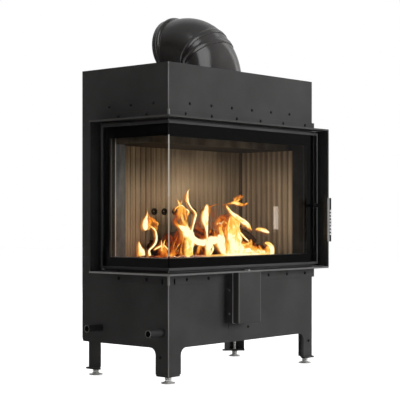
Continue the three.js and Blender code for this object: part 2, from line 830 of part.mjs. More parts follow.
const tongueTip = handleAxisHeight + tongueLength;
place("latch_shaft", "steel", joined(
  turnedAlongY([
    [0, handleBack + fit],
    [shaftRadius, handleBack + fit],
    [shaftRadius, -tongueFront],
    [tongueHub, -tongueFront],
    [tongueHub, -tongueFromCasing],
    [0, -tongueFromCasing],
  ], handleAxisPlace, handleAxisHeight, 20),
  box(
    handleAxisPlace - tongueWidth / 2, handleAxisPlace + tongueWidth / 2,
    -tongueFront, -tongueFromCasing, handleAxisHeight, tongueTip,
  ),
));
const lipBack = tongueFront + keeperLipGap;
const lipFront = lipBack + keeperLipDepth;
const keeperRight = handleAxisPlace + tongueWidth / 2;
place("latch_keeper", "steel", joined(
  box(keeperRight - keeperWidth, keeperRight, -lipFront, -lipBack, tongueTip - keeperOverlap, tongueTip + keeperPost),
  box(keeperRight - keeperWidth, keeperRight, -lipFront, -fit, tongueTip + keeperLipGap, tongueTip + keeperPost),
));

// Air box under the trim: a tray on the casing and a cover on the tray, with a flap inside.

const airBoxTop = trimBottom - fit;
// The box seen from the front, up to a given top and set in by its sheet or not.
function airBoxFace(top, inset) {
  return rounded(
    airBoxLeft + inset, airBoxRight - inset, airBoxBottom + inset, top - inset, airBoxCorner - inset,
  );
}

// The tray's back steps forward where the flange passes behind it.
function airTray() {
  const stepTop = flangeBottom - fit;
  const stepBack = sheet + 2 * fit;
  const open = -airBoxSeam - overrun;
  return joined(
    frontal(airBoxFace(airBoxTop, 0), -airBoxSeam, -stepBack),
    frontal(airBoxFace(stepTop, 0), -airBoxSeam, -fit),
  ).subtract(joined(
    frontal(airBoxFace(airBoxTop, airBoxSheet), open, -stepBack - airBoxSheet),
    frontal(airBoxFace(stepTop, airBoxSheet), open, -fit - airBoxSheet),
  )).subtract(turnedAlongY(
    rodProfile(airPortRadius, -fit - airBoxSheet - overrun, overrun), airBoxMiddle, airPortHeight,
  )).subtract(box(
    airBoxMiddle - airSlotWidth / 2, airBoxMiddle + airSlotWidth / 2,
    airBoxSheet - airBoxSeam, airBoxSheet - airBoxSeam + airSlotDepth,
    airBoxBottom - overrun, airBoxBottom + airBoxSheet + overrun,
  )).subtract(turnedAlongX(
    rodProfile(flapPinRadius + fit, airBoxLeft - overrun, airBoxRight + overrun), -flapPinAside, flapPinHeight, 16,
  ));
}

const flapBack = flapFromCasing;
const flapFront = flapBack + flapThickness;
const flapPinAside = flapBack + flapPinRadius;
place("air_box_tray", "paint", airTray());

// The cover's open edge has a narrow rim turned outwards, which ends level at the top.
const coverBack = -airBoxSeam - fit;
place("air_box_cover", "paint", joined(
  frontal(airBoxFace(airBoxTop, 0), -airBoxDepth, coverBack),
  frontal(airBoxFace(airBoxTop - airBoxRim, -airBoxRim), coverBack - airBoxRimDepth, coverBack),
).subtract(
  frontal(airBoxFace(airBoxTop, airBoxSheet), -airBoxDepth + airBoxSheet, -airBoxSeam + overrun),
));

// The flap hangs from a pin in the tray's sides and closes the port by its own weight.
function airFlap() {
  return joined(
    turnedAlongY(rodProfile(flapRadius, -flapFront, -flapBack), airBoxMiddle, airPortHeight, 28),
    box(
      airBoxMiddle - flapHangerWidth / 2, airBoxMiddle + flapHangerWidth / 2,
      -flapFront, -flapBack, airPortHeight, flapPinHeight,
    ),
    turnedAlongX(
      rodProfile(flapPinRadius, airBoxLeft + fit, airBoxRight - fit),
      -flapPinAside, flapPinHeight, 16,
    ),
  );
}
place("air_flap", "steel", airFlap());

const leverBottom = shelfBottom;
const leverTop = leverBottom + leverThickness;
function airLever() {
  const y = -leverPivotAside;
  const half = leverWidth / 2;
  const plan = outline([
    [leverPivotPlace + half, y + half],
    [leverTipPlace + leverTab, y + half],
    [leverTipPlace, y],
    [leverTipPlace, -leverTabReach],
    [leverTipPlace + leverTab, -leverTabReach],
    [leverTipPlace + leverTab, y - half],
    [leverPivotPlace + half, y - half],
  ]);
  return standing(plan, leverBottom, leverTop).add(turned([
    [0, trimBottom],
    [leverPinRadius, trimBottom],
    [leverPinRadius, leverTop],
    [leverPinHead, leverTop],
    [leverPinHead, leverTop + leverThickness / 2],
    [0, leverTop + leverThickness / 2],
  ], leverPivotPlace, y, 16));
}
place("air_lever", "steel", airLever());

// Fire chamber: steel plates that carry the ribbed linings, hearth and baffle.

const liningOut = liningRight + liningThickness;
const liningRearFace = liningBack + liningThickness;
const chamberRight = liningOut + fit + chamberPlate;
const ductFront = liningRearFace + fit;
const ductBack = ductFront + ductDepth;
const chamberRear = ductBack + fit + chamberPlate;
place("chamber_floor", "inside", box(
  panelInside, chamberRight, panelInside, chamberRear, chamberBottom, chamberBottom + chamberPlate,
));
place("chamber_ceiling", "inside", box(
  panelInside, chamberRight, panelInside, chamberRear, chamberTop, chamberTop + chamberPlate,
).subtract(turned(
  rodProfile(spigotRadius - flueWall, chamberTop - overrun, chamberTop + chamberPlate + overrun), flueX, flueY, flueSides,
)));
const plateLow = chamberBottom + chamberPlate + fit;
const plateHigh = chamberTop - fit;
place("chamber_back", "inside", box(
  panelInside, chamberRight, chamberRear - chamberPlate, chamberRear, plateLow, plateHigh,
));
const cheekEnd = liningFront - fit;
place("chamber_right", "inside", standing(outline([
  [chamberRight, chamberRear - chamberPlate - fit],
  [liningOut + fit, chamberRear - chamberPlate - fit],
  [liningOut + fit, cheekEnd],
  [liningRight, cheekEnd],
  [liningRight, panelInside],
  [liningRight + sheet, panelInside],
  [liningRight + sheet, cheekEnd - sheet],
  [chamberRight, cheekEnd - sheet],
]), plateLow, plateHigh));

// The folded steel pillar between the side glass and the back lining.
place("rear_pillar", "inside", standing(outline([
  [panelInside, windowRear + pillarInset],
  [pillarFold, windowRear + pillarInset],
  [liningLeft - fit, liningBack],
  [liningLeft - fit, liningRearFace],
  [liningLeft - fit - pillarSheet, liningRearFace],
  [liningLeft - fit - pillarSheet, liningBack + pillarSheet / 2],
  [pillarFold - pillarSheet / 2, windowRear + pillarInset + pillarSheet],
  [panelInside, windowRear + pillarInset + pillarSheet],
]), plateLow, plateHigh));

// A lining panel in plan: flat at the back, with round ribs along its face.
// along gives the face's places from 0 to length, and toPlan maps (along, proud) to X and Y.
function ribbedPanel(length, toPlan, z0, z1) {
  const ribs = Math.max(1, Math.round(length / ribPitch));
  const pitch = length / ribs;
  const ribShares = [[0, 1], [0.12, 0.35], [0.5, 0], [0.88, 0.35]];
  const points = [];
  for (let i = 0; i < ribs; i++) {
    for (const [alongShare, depthShare] of ribShares) {
      points.push(toPlan((i + alongShare) * pitch, -depthShare * ribDepth));
    }
  }
  points.push(toPlan(length, -ribDepth));
  points.push(toPlan(length, -liningThickness));
  points.push(toPlan(0, -liningThickness));
  return standing(outline(points), z0, z1);
}
const hearthFace = hearthTop + fit;
const nozzleHoles = [];
for (let i = 0; i < nozzleCount; i++) nozzleHoles.push(nozzleFirst + i * nozzlePitch);
let backLining = ribbedPanel(
  liningRight - fit - liningLeft, (s, proud) => [liningLeft + s, liningBack - proud], hearthFace, liningTop - fit,
);
for (const x of nozzleHoles) {
  backLining = backLining.subtract(turnedAlongY(
    rodProfile(nozzleRadius + fit, liningBack - overrun, liningBack + liningThickness + overrun), x, nozzleHeight, 14,
  ));
}
place("lining_back", "lining", backLining);
place("lining_right", "lining", ribbedPanel(
  liningRearFace - liningFront,
  (s, proud) => [liningRight - proud, liningFront + s], hearthFace, liningTop - fit,
));

// Secondary air comes through a flat duct behind the back lining and leaves by its nozzles.
function airDuct() {
  const left = nozzleFirst - nozzlePitch;
  const right = nozzleHoles[nozzleCount - 1] + nozzlePitch;
  const low = nozzleHeight - ductHeight / 2;
  const high = nozzleHeight + ductHeight / 2;
  let duct = box(left, right, ductFront, ductBack, low, high);
  for (const x of nozzleHoles) {
    const front = liningBack - nozzleProud;
    duct = duct.add(turnedAlongY(rodProfile(nozzleRadius, front, ductFront + ductSheet), x, nozzleHeight, 14));
    duct = duct.subtract(turnedAlongY([
      [0, front - overrun],
      [nozzleMouth, front - overrun],
      [nozzleMouth, front],
      [nozzleBore, front + nozzleProud],
      [nozzleBore, ductFront + ductSheet * 2],
      [0, ductFront + ductSheet * 2],
    ], x, nozzleHeight, 14));
  }
  return duct.subtract(box(
    left + ductSheet, right + overrun, ductFront + ductSheet, ductBack - ductSheet, low + ductSheet, high - ductSheet,
  ));
}
place("air_duct", "inside", airDuct());
place("hearth_slab", "lining", joined(
  box(
    panelInside + retainerInset, liningRight - fit, panelInside + retainerInset, windowRear, plateLow, hearthTop,
  ),
  box(liningLeft, liningOut, liningFront, liningRearFace, plateLow, hearthTop),
));
place("ceiling_baffle", "lining", joined(
  box(liningLeft, liningOut, baffleFront, liningRearFace, liningTop, liningTop + baffleThickness),
  box(panelInside + retainerInset, liningOut, baffleFront, windowRear, liningTop, liningTop + baffleThickness),
));
const guardOut = -panelInside;
place("log_guard", "inside", cornerStrip(
  guardOut, guardOut - retainerInset / 2, liningRight - fit, windowRear, plateLow, retainerTop,
));
place("air_wash_channel", "inside", joined(
  cornerStrip(
    guardOut, guardOut - airWashDepth, liningRight - fit, windowRear, plateHigh - sheet, plateHigh,
  ),
  cornerStrip(
    guardOut - airWashDepth + sheet, guardOut - airWashDepth, liningRight - fit, windowRear,
    plateHigh - airWashHeight, plateHigh,
  ),
));

// Flue: a spigot on the chamber and an elbow of three swept segments on the spigot.

// The elbow's socket sits on a stop bead round the spigot.
const spigotBottom = chamberTop + chamberPlate + fit;
const stopTop = socketBottom - fit;
place("flue_spigot", "inside", turned([
  [spigotRadius - flueWall, spigotBottom],
  [spigotRadius, spigotBottom],
  [spigotRadius, stopTop - stopHeight],
  [flueFlare, stopTop - stopHeight / 2],
  [flueFlare, stopTop],
  [spigotRadius, stopTop],
  [spigotRadius, spigotTop],
  [spigotRadius - flueWall, spigotTop],
  [spigotRadius - flueWall, spigotBottom],
], flueX, flueY, flueSides));
place("hood_lid", "paint", box(
  ...floorInside, casingTop - sheet, casingTop,
).subtract(turned(
  rodProfile(hoodHoleRadius, casingTop - sheet - overrun, casingTop + overrun), flueX, flueY, flueSides,
)));

// The flue's path: straight up to the bend, round it, and straight out to the back.
// s is the length along the path from the start of the bend.
const bendLength = flueBend * Math.PI / 2;
function alongFlue(s, aside, out) {
  if (s < 0) return [flueX + aside, flueY - out, bendStart + s];
  if (s > bendLength) {
    return [flueX + aside, flueY + flueBend + s - bendLength, bendStart + flueBend + out];
  }
  const turn = s / flueBend;
  const reach = flueBend + out;
  return [flueX + aside, flueY + flueBend - reach * Math.cos(turn), bendStart + reach * Math.sin(turn)];
}

// A turned profile of [radius, s] bent along the flue's path.
function bentTurning(profile) {
  const points = profile.map(([r, s]) => new THREE.Vector2(r, s));
  const geometry = new THREE.LatheGeometry(points, flueSides);
  const position = geometry.attributes.position;
  for (let i = 0; i < position.count; i++) {
    const [x, y, z] = alongFlue(position.getY(i), position.getX(i), position.getZ(i));
    position.setXYZ(i, x, y, z);
  }
  return solid(geometry);
}

function stations(from, to) {
  const count = Math.max(1, Math.ceil((to - from) / (bendStep * flueBend)));
  const list = [];
  for (let i = 0; i <= count; i++) list.push(from + (to - from) * i / count);
  return list;
}
const seamOne = firstSeam * flueBend;
const seamTwo = secondSeam * flueBend;
const outletEnd = bendLength + outletLength;
const lapInner = flueRadius + fit;
const lapOuter = flueRadius + seamStep;

// The foot segment tapers from its flared socket to the first seam.
function footSegment() {
  const taperEnd = seamOne - seamLap;
  const taper = (s) => flueFlare + (flueRadius - flueFlare) * s / taperEnd;
  const outer = [
    [flueFlare, socketBottom - bendStart],
    ...stations(0, taperEnd).map((s) => [taper(s), s]),
    [flueRadius, seamOne + seamLap],
  ];
  const inner = [...outer].reverse().map(([r, s]) => [r - flueWall, s]);
  return bentTurning([...outer, ...inner, outer[0]]);
}

// A segment that laps over the one before it at its lower end, and may be narrower at its middle.
function lappedSegment(from, to, waist, end) {
  const lapStart = from - seamLap / 2;
  const shoulder = from + seamLap + fit;
  const start = shoulder + seamLap;
  const body = stations(start, to).map(
    (s) => [flueRadius - waist * Math.sin(Math.PI * (s - start) / (to - start)), s],
  );
  const outer = [
    [lapOuter - seamStep / 3, lapStart],
    [lapOuter, lapStart + seamStep],
    [lapOuter, shoulder],
    ...body,
    ...end,
  ];
  const inner = [
    ...[...body, ...end].map(([r, s]) => [r - flueWall, s]).reverse(),
    [flueRadius - flueWall, shoulder],
    [lapInner, shoulder],
    [lapInner, lapStart],
  ];
  return bentTurning([...outer, ...inner, outer[0]]);
}
place("elbow_foot_segment", "paint", footSegment());
place("elbow_middle_segment", "paint", lappedSegment(seamOne, seamTwo + seamLap, 0, []));
const bead = outletEnd - beadFromEnd;
place("elbow_outlet_segment", "paint", lappedSegment(seamTwo, bendLength, 0, [
  [flueRadius, bead - beadHalfWidth],
  [beadRadius, bead - beadHalfWidth / 3],
  [beadRadius, bead + beadHalfWidth / 3],
  [flueRadius, bead + beadHalfWidth],
  [flueRadius, outletEnd],
]));

// The origin is the middle of the footprint on the floor.
const leftmost = -socketLength;
const rightmost = trimRight;
const foremost = -handleFront - gripRibProud / 2;
const rearmost = casingDepth + airSpigotLength;
fireplace.position.set(-(leftmost + rightmost) / 2, -(foremost + rearmost) / 2, 0);

export default fireplace;
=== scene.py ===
import json
import math

import bmesh
import bpy
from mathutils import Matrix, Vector, noise


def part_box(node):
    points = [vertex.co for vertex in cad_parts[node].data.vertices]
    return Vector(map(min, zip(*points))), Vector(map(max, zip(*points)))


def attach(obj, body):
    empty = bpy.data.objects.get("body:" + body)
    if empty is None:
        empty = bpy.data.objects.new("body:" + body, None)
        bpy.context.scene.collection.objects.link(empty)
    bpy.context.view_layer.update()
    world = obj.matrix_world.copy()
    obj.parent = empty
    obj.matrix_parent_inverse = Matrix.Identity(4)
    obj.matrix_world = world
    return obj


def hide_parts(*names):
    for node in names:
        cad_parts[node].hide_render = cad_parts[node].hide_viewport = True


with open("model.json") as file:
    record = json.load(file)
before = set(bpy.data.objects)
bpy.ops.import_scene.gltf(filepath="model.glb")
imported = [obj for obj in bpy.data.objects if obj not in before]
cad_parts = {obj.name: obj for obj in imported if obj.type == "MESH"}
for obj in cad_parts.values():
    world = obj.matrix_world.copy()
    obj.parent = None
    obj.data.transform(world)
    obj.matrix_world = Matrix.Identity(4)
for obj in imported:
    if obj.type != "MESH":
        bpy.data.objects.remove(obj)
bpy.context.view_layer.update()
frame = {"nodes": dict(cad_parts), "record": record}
nodes = frame["nodes"]

# Places are in millimetres from the casing's front left corner on the floor.
X0, Y0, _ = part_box("base_shell")[0]


def at(x, y, z):
    """A place in the part's frame, in metres."""
    return Vector((X0 + x / 1000, Y0 + y / 1000, z / 1000))


def box(node):
    """The low corner, the high corner and the middle of a CAD node's box."""
    low, high = ((Vector(place) - Vector((X0, Y0, 0))) * 1000 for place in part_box(node))
    return low, high, (low + high) / 2


def near(place, before, after):
    """Limits on both sides of a place on an axis."""
    return place - before, place + after


# Node graphs


class Graph:
    """Short ways to build the node graph of a material or of the world."""

    def __init__(self, owner, output):
        owner.use_nodes = True
        self.tree = owner.node_tree
        self.tree.nodes.clear()
        self.out = self.add(output).inputs["Surface"]

    def put(self, socket, value):
        """Links an output to a socket, or sets a number, a vector or a colour on it."""
        if isinstance(value, bpy.types.NodeSocket):
            self.tree.links.new(value, socket)
        elif socket.type == "RGBA":
            socket.default_value = (*value, 1)
        else:
            socket.default_value = value

    def add(self, kind, *inputs, **settings):
        """Adds a node and fills its first inputs. A setting with a capital letter is an input too."""
        node = self.tree.nodes.new("ShaderNode" + kind)
        values = dict(enumerate(inputs))
        for key, value in settings.items():
            if key[0].isupper():
                values[key.replace("_", " ")] = value
            else:
                setattr(node, key, value)
        for key, value in values.items():
            self.put(node.inputs[key], value)
        return node

    def range(self, value, low, high, to_low, to_high):
        return self.add("MapRange", value, low, high, to_low, to_high).outputs[0]

    def math(self, kind, *values):
        return self.add("Math", *values, operation=kind).outputs[0]

    def times(self, first, *others):
        for other in others:
            first = self.math("MULTIPLY", first, other)
        return first

    def glow(self, kind, strength):
        """White light from an Emission or a Background node."""
        return self.add(kind, (1, 1, 1), strength).outputs[0]

    def by_ray(self, ray, no, yes):
        """One shader for a kind of ray, and another for all others."""
        return self.add("MixShader", self.add("LightPath").outputs[ray], no, yes).outputs[0]


class Net(Graph):
    """The graph of a material with one Principled shader."""

    def __init__(self, name, **sockets):
        self.mat = bpy.data.materials.new(name)
        super().__init__(self.mat, "OutputMaterial")
        self.bsdf = self.add("BsdfPrincipled", **sockets)
        self.put(self.out, self.bsdf.outputs[0])
        self.coord = self.add("TexCoord").outputs["Object"]

    def set(self, socket, value):
        self.put(self.bsdf.inputs[socket], value)

    def noise(self, scale, detail=3, rough=0.5, stretch=None):
        source = self.coord
        if stretch:
            source = self.add("Mapping", Vector=source, Scale=stretch).outputs[0]
        return self.add("TexNoise", Vector=source, Scale=scale, Detail=detail, Roughness=rough).outputs["Fac"]

    def mix(self, factor, a, b):
        node = self.add("Mix", factor, data_type="RGBA")
        self.put(node.inputs[6], a)
        self.put(node.inputs[7], b)
        return node.outputs[2]

    def ramp(self, value, *stops):
        node = self.add("ValToRGB", value)
        elements = node.color_ramp.elements
        for place, _ in stops[1:-1]:
            elements.new(place)
        for element, (_, colour) in zip(elements, stops):
            element.color = (*colour, 1)
        return node.outputs[0]

    def bump(self, height, strength, distance=0.001, normal=None):
        node = self.add("Bump", Height=height, Strength=strength, Distance=distance)
        if normal:
            self.put(node.inputs["Normal"], normal)
        self.set("Normal", node.outputs[0])

    def edges(self, radius):
        """A rounded edge's normal, and how strongly a point lies on an edge."""
        bevel = self.add("Bevel", radius, samples=6).outputs[0]
        normal = self.add("NewGeometry").outputs["Normal"]
        dot = self.add("VectorMath", bevel, normal, operation="DOT_PRODUCT").outputs["Value"]
        return bevel, self.range(dot, 0.995, 0.85, 0, 1)

    def place(self, axis):
        return self.add("SeparateXYZ", self.coord).outputs[axis.upper()]

    def over(self, axis, low, high, to_low=0, to_high=1):
        """A value that changes between two places on an axis."""
        shift = {"x": X0, "y": Y0, "z": 0}[axis]
        return self.range(self.place(axis), shift + low / 1000, shift + high / 1000, to_low, to_high)

    def inside(self, **limits):
        """1 between the limits that are given for axes, else 0."""
        steps = []
        for axis, (low, high) in limits.items():
            steps += [self.over(axis, low - 0.2, low + 0.2), self.over(axis, high + 0.2, high - 0.2)]
        return self.times(*steps)


# Materials

CASING_COLOUR = (0.0613, 0.0605, 0.0602)
DOOR_COLOUR = (0.0805, 0.0805, 0.0823)


def toned(colour, factor, lift=0.0):
    return tuple(min(1, c * factor + lift) for c in colour)


def stove_paint(name, colour, rough, edge=1.35, edge_radius=0.0012, marks=()):
    """Matt paint with orange peel, with a painted highlight along its edges and painted light and shade
    within the marks.
    """
    n = Net(name, Roughness=rough, Specular_IOR_Level=0.28)
    normal, on_edge = n.edges(edge_radius)
    cloud = n.noise(6, 4, 0.55)
    fine = n.noise(420, 2, 0.6)
    light = toned(colour, 1.16)
    base = n.mix(n.range(cloud, 0.35, 0.65, 0, 1), toned(colour, 0.84), light)
    base = n.mix(n.range(fine, 0.45, 0.75, 0, 0.5), base, light)
    # Painted highlight along the edges.
    base = n.mix(n.times(on_edge, n.range(fine, 0.35, 0.6, 0.55, 1)), base, toned(colour, edge, 0.014))
    for tone, limits in marks:
        base = n.mix(n.inside(**limits), base, (tone, tone * 0.99, tone * 0.98))
    n.set("Base Color", base)
    n.set("Roughness", n.range(cloud, 0.3, 0.7, rough - 0.05, rough + 0.06))
    n.bump(n.noise(900, 2, 0.5), 0.12, 0.0004, normal)
    return n.mat


def steel(name, colour, rough, scale):
    n = Net(name, Roughness=rough, Metallic=1)
    normal, on_edge = n.edges(0.0006)
    grain = n.noise(scale, 3, 0.6)
    cloud = n.noise(25, 3)
    base = n.mix(grain, toned(colour, 0.75), colour)
    # Painted highlight along the edges.
    base = n.mix(n.times(on_edge, 0.6), base, toned(colour, 1.3))
    n.set("Base Color", n.mix(n.range(cloud, 0.3, 0.7, 0, 0.3), base, toned(colour, 0.6)))
    n.set("Roughness", n.range(grain, 0.3, 0.7, rough - 0.06, rough + 0.1))
    n.bump(grain, 0.1, 0.0003, normal)
    return n.mat


def grip_steel():
    """Blasted steel on the handle's front, blackened on its sides and in its groove, with painted highlights
    on its edges and a near white strip on its front beside the groove.
    """
    low, high, _ = box("handle_grip")
    front = near(low.y, 3, 2.1)
    groove = high.x - 11.9
    n = Net("handle_steel", Roughness=0.4, Metallic=0.35)
    normal, on_edge = n.edges(0.0006)
    fine = n.noise(900, 3, 0.6)
    blasted = n.mix(fine, (0.28, 0.28, 0.277), (0.455, 0.455, 0.448))
    black = n.mix(fine, (0.021, 0.021, 0.021), (0.049, 0.049, 0.049))
    # Painted highlight along the edges of the black.
    black = n.mix(n.times(on_edge, 0.5), black, (0.175, 0.175, 0.175))
    bare = n.mix(n.inside(x=(low.x - 1, groove), y=front), black, blasted)
    pale_strip = n.inside(x=(groove, high.x + 1), y=front, z=(low.z + 24, high.z - 41))
    n.set("Base Color", n.mix(pale_strip, bare, (0.95, 0.95, 0.95)))
    n.set("Roughness", n.range(fine, 0.3, 0.7, 0.34, 0.5))
    n.bump(fine, 0.15, 0.0003, normal)
    return n.mat


def zinc():
    n = Net("bright_zinc", Roughness=0.3, Metallic=0.35)
    cells = n.add("TexVoronoi", Vector=n.coord, Scale=160)
    grey = n.add("SeparateColor", cells.outputs["Color"])
    n.set("Base Color", n.mix(grey.outputs[0], (0.84, 0.84, 0.82), (0.95, 0.95, 0.92)))
    n.set("Roughness", n.range(grey.outputs[1], 0, 1, 0.22, 0.4))
    n.bump(n.noise(500, 2), 0.15, 0.0003)
    return n.mat


RIB_PITCH = 25.4


def fireclay(name, soot_and_shadow_from, streaked, joint=None, ribs_from=None):
    """Fireclay darkened by soot and painted shadow from a height upwards and low down, with painted shade on
    its undersides. The joint and the ribs are optional.
    """
    n = Net(name, Roughness=0.92, Specular_IOR_Level=0.2)
    mottled = n.noise(14, 5, 0.6, (1, 1, 0.35))
    streaks = n.noise(130, 3, 0.7, (1, 1, 0.012))
    fine = n.noise(500, 3, 0.7)
    base = n.mix(n.range(mottled, 0.3, 0.7, 0, 1), (0.34, 0.265, 0.19), (0.48, 0.39, 0.285))
    base = n.mix(n.range(streaks, 0.42, 0.6, 0, streaked), base, (0.22, 0.17, 0.12))
    base = n.mix(n.range(fine, 0.5, 0.8, 0, 0.35), base, (0.58, 0.49, 0.38))
    # Between the logs and the soot and painted shadow under the ceiling the back wall is burnt clean.
    clean = n.times(n.over("x", 300, 380), n.over("x", 550, 700, 1, 0), n.over("z", 600, 660, 0, 0.4))
    base = n.mix(clean, base, (0.68, 0.56, 0.42))
    # The soot and painted shadow under the ceiling hang lower beside the left window.
    hanging = n.math("ADD", n.place("z"), n.over("x", 300, 360, 0.03, 0))
    high = n.range(hanging, soot_and_shadow_from / 1000, 0.79, 0, 0.75)
    # Low down there is less soot and painted shadow at the left end, and behind the logs they rise higher.
    low = n.times(n.over("z", 500, 400, 0, 0.55), n.over("x", 150, 250, 0.2, 1))
    smoke_and_shadow = n.times(n.over("x", 190, 250), n.over("x", 420, 540, 1, 0), n.over("z", 620, 520, 0, 0.8))
    soot_and_shadow = n.math("MAXIMUM", high, n.math("MAXIMUM", low, smoke_and_shadow))
    base = n.mix(n.times(soot_and_shadow, n.range(mottled, 0.3, 0.6, 0.6, 1.1)), base, (0.06, 0.045, 0.032))
    if ribs_from:
        # Painted shade in the grooves between the upright ribs, and painted highlights on their crests.
        along = n.math("SUBTRACT", n.place("y"), Y0 + ribs_from / 1000)
        wave = n.math("COSINE", n.times(along, 2000 * math.pi / RIB_PITCH))
        base = n.mix(n.range(wave, -0.1, 0.9, 0, 0.5), base, (0.09, 0.068, 0.048))
        base = n.mix(n.range(wave, -0.4, -1, 0, 0.15), base, (0.62, 0.52, 0.4))
    if joint:
        base = n.mix(n.inside(**joint), base, (0.012, 0.01, 0.008))
    # Painted shade on the faces that point downwards.
    normal = n.add("SeparateXYZ", n.add("NewGeometry").outputs["Normal"])
    under = n.range(normal.outputs["Z"], -0.3, -0.7, 0, 1)
    n.set("Base Color", n.mix(under, base, (0.02, 0.016, 0.012)))
    n.bump(n.math("ADD", n.times(fine, 0.5), mottled), 0.5, 0.0012)
    return n.mat


def sooty_steel(name, colour, rough=0.6, marks=()):
    n = Net(name, Roughness=rough, Metallic=0.3)
    normal, on_edge = n.edges(0.001)
    cloud = n.noise(18, 4, 0.6)
    fine = n.noise(350, 3, 0.6)
    base = n.mix(n.range(cloud, 0.3, 0.7, 0, 1), colour, toned(colour, 0.45))
    base = n.mix(n.range(fine, 0.5, 0.8, 0, 0.4), base, toned(colour, 1.5))
    # Painted highlight along the edges.
    base = n.mix(n.times(on_edge, 0.7), base, toned(colour, 2.2))
    for tone, limits in marks:
        base = n.mix(n.inside(**limits), base, (tone, tone, tone))
    n.set("Base Color", base)
    n.set("Roughness", n.range(cloud, 0.3, 0.7, rough - 0.12, rough + 0.12))
    n.bump(fine, 0.2, 0.0006, normal)
    return n.mat


def fire_glass():
    n = Net("fire_glass", Roughness=0, IOR=1.5, Transmission_Weight=1)
    n.set("Base Color", n.mix(n.noise(9, 3, 0.5), (0.93, 0.92, 0.90), (0.97, 0.965, 0.95)))
    return n.mat


def enamel_print():
    n = Net("black_enamel_print", Specular_IOR_Level=0.04)
    fine = n.noise(60, 3)
    n.set("Base Color", n.mix(fine, (0.003, 0.003, 0.0033), (0.006, 0.006, 0.0066)))
    n.set("Roughness", n.range(fine, 0.3, 0.7, 0.45, 0.6))
    return n.mat


def knit_rope():
    n = Net("knitted_rope", Roughness=0.95, Specular_IOR_Level=0.1)
    knit = n.add("TexWave", n.coord, bands_direction="DIAGONAL", Scale=120, Distortion=2).outputs["Fac"]
    n.set("Base Color", n.mix(knit, (0.315, 0.298, 0.28), (0.84, 0.805, 0.735)))
    n.bump(knit, 0.6)
    return n.mat


def flue_enamel():
    n = Net("flue_enamel", Roughness=0.2, Specular_IOR_Level=0.6)
    normal, on_edge = n.edges(0.0012)
    cloud = n.noise(8, 4, 0.6)
    base = n.mix(n.range(cloud, 0.3, 0.7, 0, 1), (0.0735, 0.07, 0.0683), (0.098, 0.0938, 0.0917))
    # Painted highlight along the edges.
    n.set("Base Color", n.mix(n.times(on_edge, 0.6), base, (0.21, 0.21, 0.21)))
    n.set("Roughness", n.range(cloud, 0.3, 0.7, 0.17, 0.27))
    n.bump(n.math("ADD", n.noise(300, 2), n.times(cloud, 3)), 0.06, 0.0006, normal)
    return n.mat


def corner_edge():
    """The polished edge where the panes meet, pale as a painted highlight, greyer above and browner over its
    lower half.
    """
    n = Net("polished_glass_edge", Roughness=0.15, Specular_IOR_Level=0.6)
    base = n.mix(n.noise(90, 3, 0.6, (1, 1, 0.1)), (0.88, 0.85, 0.78), (0.95, 0.93, 0.88))
    base = n.mix(n.over("z", 680, 760), base, (0.9, 0.86, 0.78))
    n.set("Base Color", n.mix(n.times(n.inside(z=(380, 620)), 0.75), base, (0.7, 0.56, 0.42)))
    return n.mat


def trim_paint():
    """Painted highlights on the hems of the trims, brightest on the lower one."""
    hem = near(box("trim_bottom")[0].x, 2, 1.6)
    below = near(box("trim_bottom")[0].z, 6, 7)
    above = near(box("trim_top")[0].z, 1, 11)
    return stove_paint("trim_stove_paint", (0.0578, 0.0574, 0.0574), 0.4, 2.6, marks=[
        (0.42, dict(x=hem, z=below)), (0.175, dict(y=hem, z=below)),
        (0.123, dict(x=hem, z=above)), (0.077, dict(y=hem, z=above)),
    ])


def door_paint(name, rough, shade_from, **reach):
    """The door's paint, with painted shade beside the glass and a painted highlight along the right edge."""
    low, high, _ = box("door_stile_right")
    front = near(low.y, 1, 1)
    highlight_from = high.x - 6.4
    return stove_paint(name, DOOR_COLOUR, rough, 1.8, marks=[
        # Painted shade beside the glass, then a painted highlight along the right edge.
        (0.0028, dict(x=(low.x + shade_from, highlight_from), y=front, **reach)),
        (0.158, dict(x=(highlight_from, high.x + 1), y=front)),
    ])


def air_box_paint():
    """Painted highlights along the cover's rear hem and its upright edges, and a painted shadow along its
    lower edge.
    """
    low, high, _ = box("air_box_cover")
    front = near(low.y, 1, 4)
    return stove_paint("air_box_paint", CASING_COLOUR, 0.46, 2.2, marks=[
        (0.595, dict(y=near(high.y, 2.7, 1.3))), (0.21, dict(x=near(low.x, 1, 3.4), y=front)),
        (0.126, dict(x=near(high.x, 3.8, 1), y=front)), (0.0245, dict(y=front, z=near(low.z, 0.8, 1.8))),
    ])


def lever_steel():
    """Blackened steel with painted highlights on its edges and a painted highlight at the air lever's tip."""
    tip = box("air_lever")[0]
    return stove_paint("blackened_steel", (0.0315, 0.0315, 0.0333), 0.3, 3, 0.0006,
                       [(0.56, dict(x=near(tip.x, 7, 9), y=near(tip.y, 2, 16)))])


def pillar_steel():
    """Plate with a pale bluish tone that is partly a painted reflection of the sky, a dark strip on the left
    of its front, and a painted highlight line beside it.
    """
    low = box("rear_pillar")[0]
    front = near(low.y, 4, 4)
    return sooty_steel("pillar_plate", (0.17, 0.2, 0.24), 0.45, [
        (0.03, dict(x=near(low.x, 1.3, 17.2), y=front)), (0.8, dict(x=near(low.x + 20, 1.8, 2.2), y=front)),
    ])


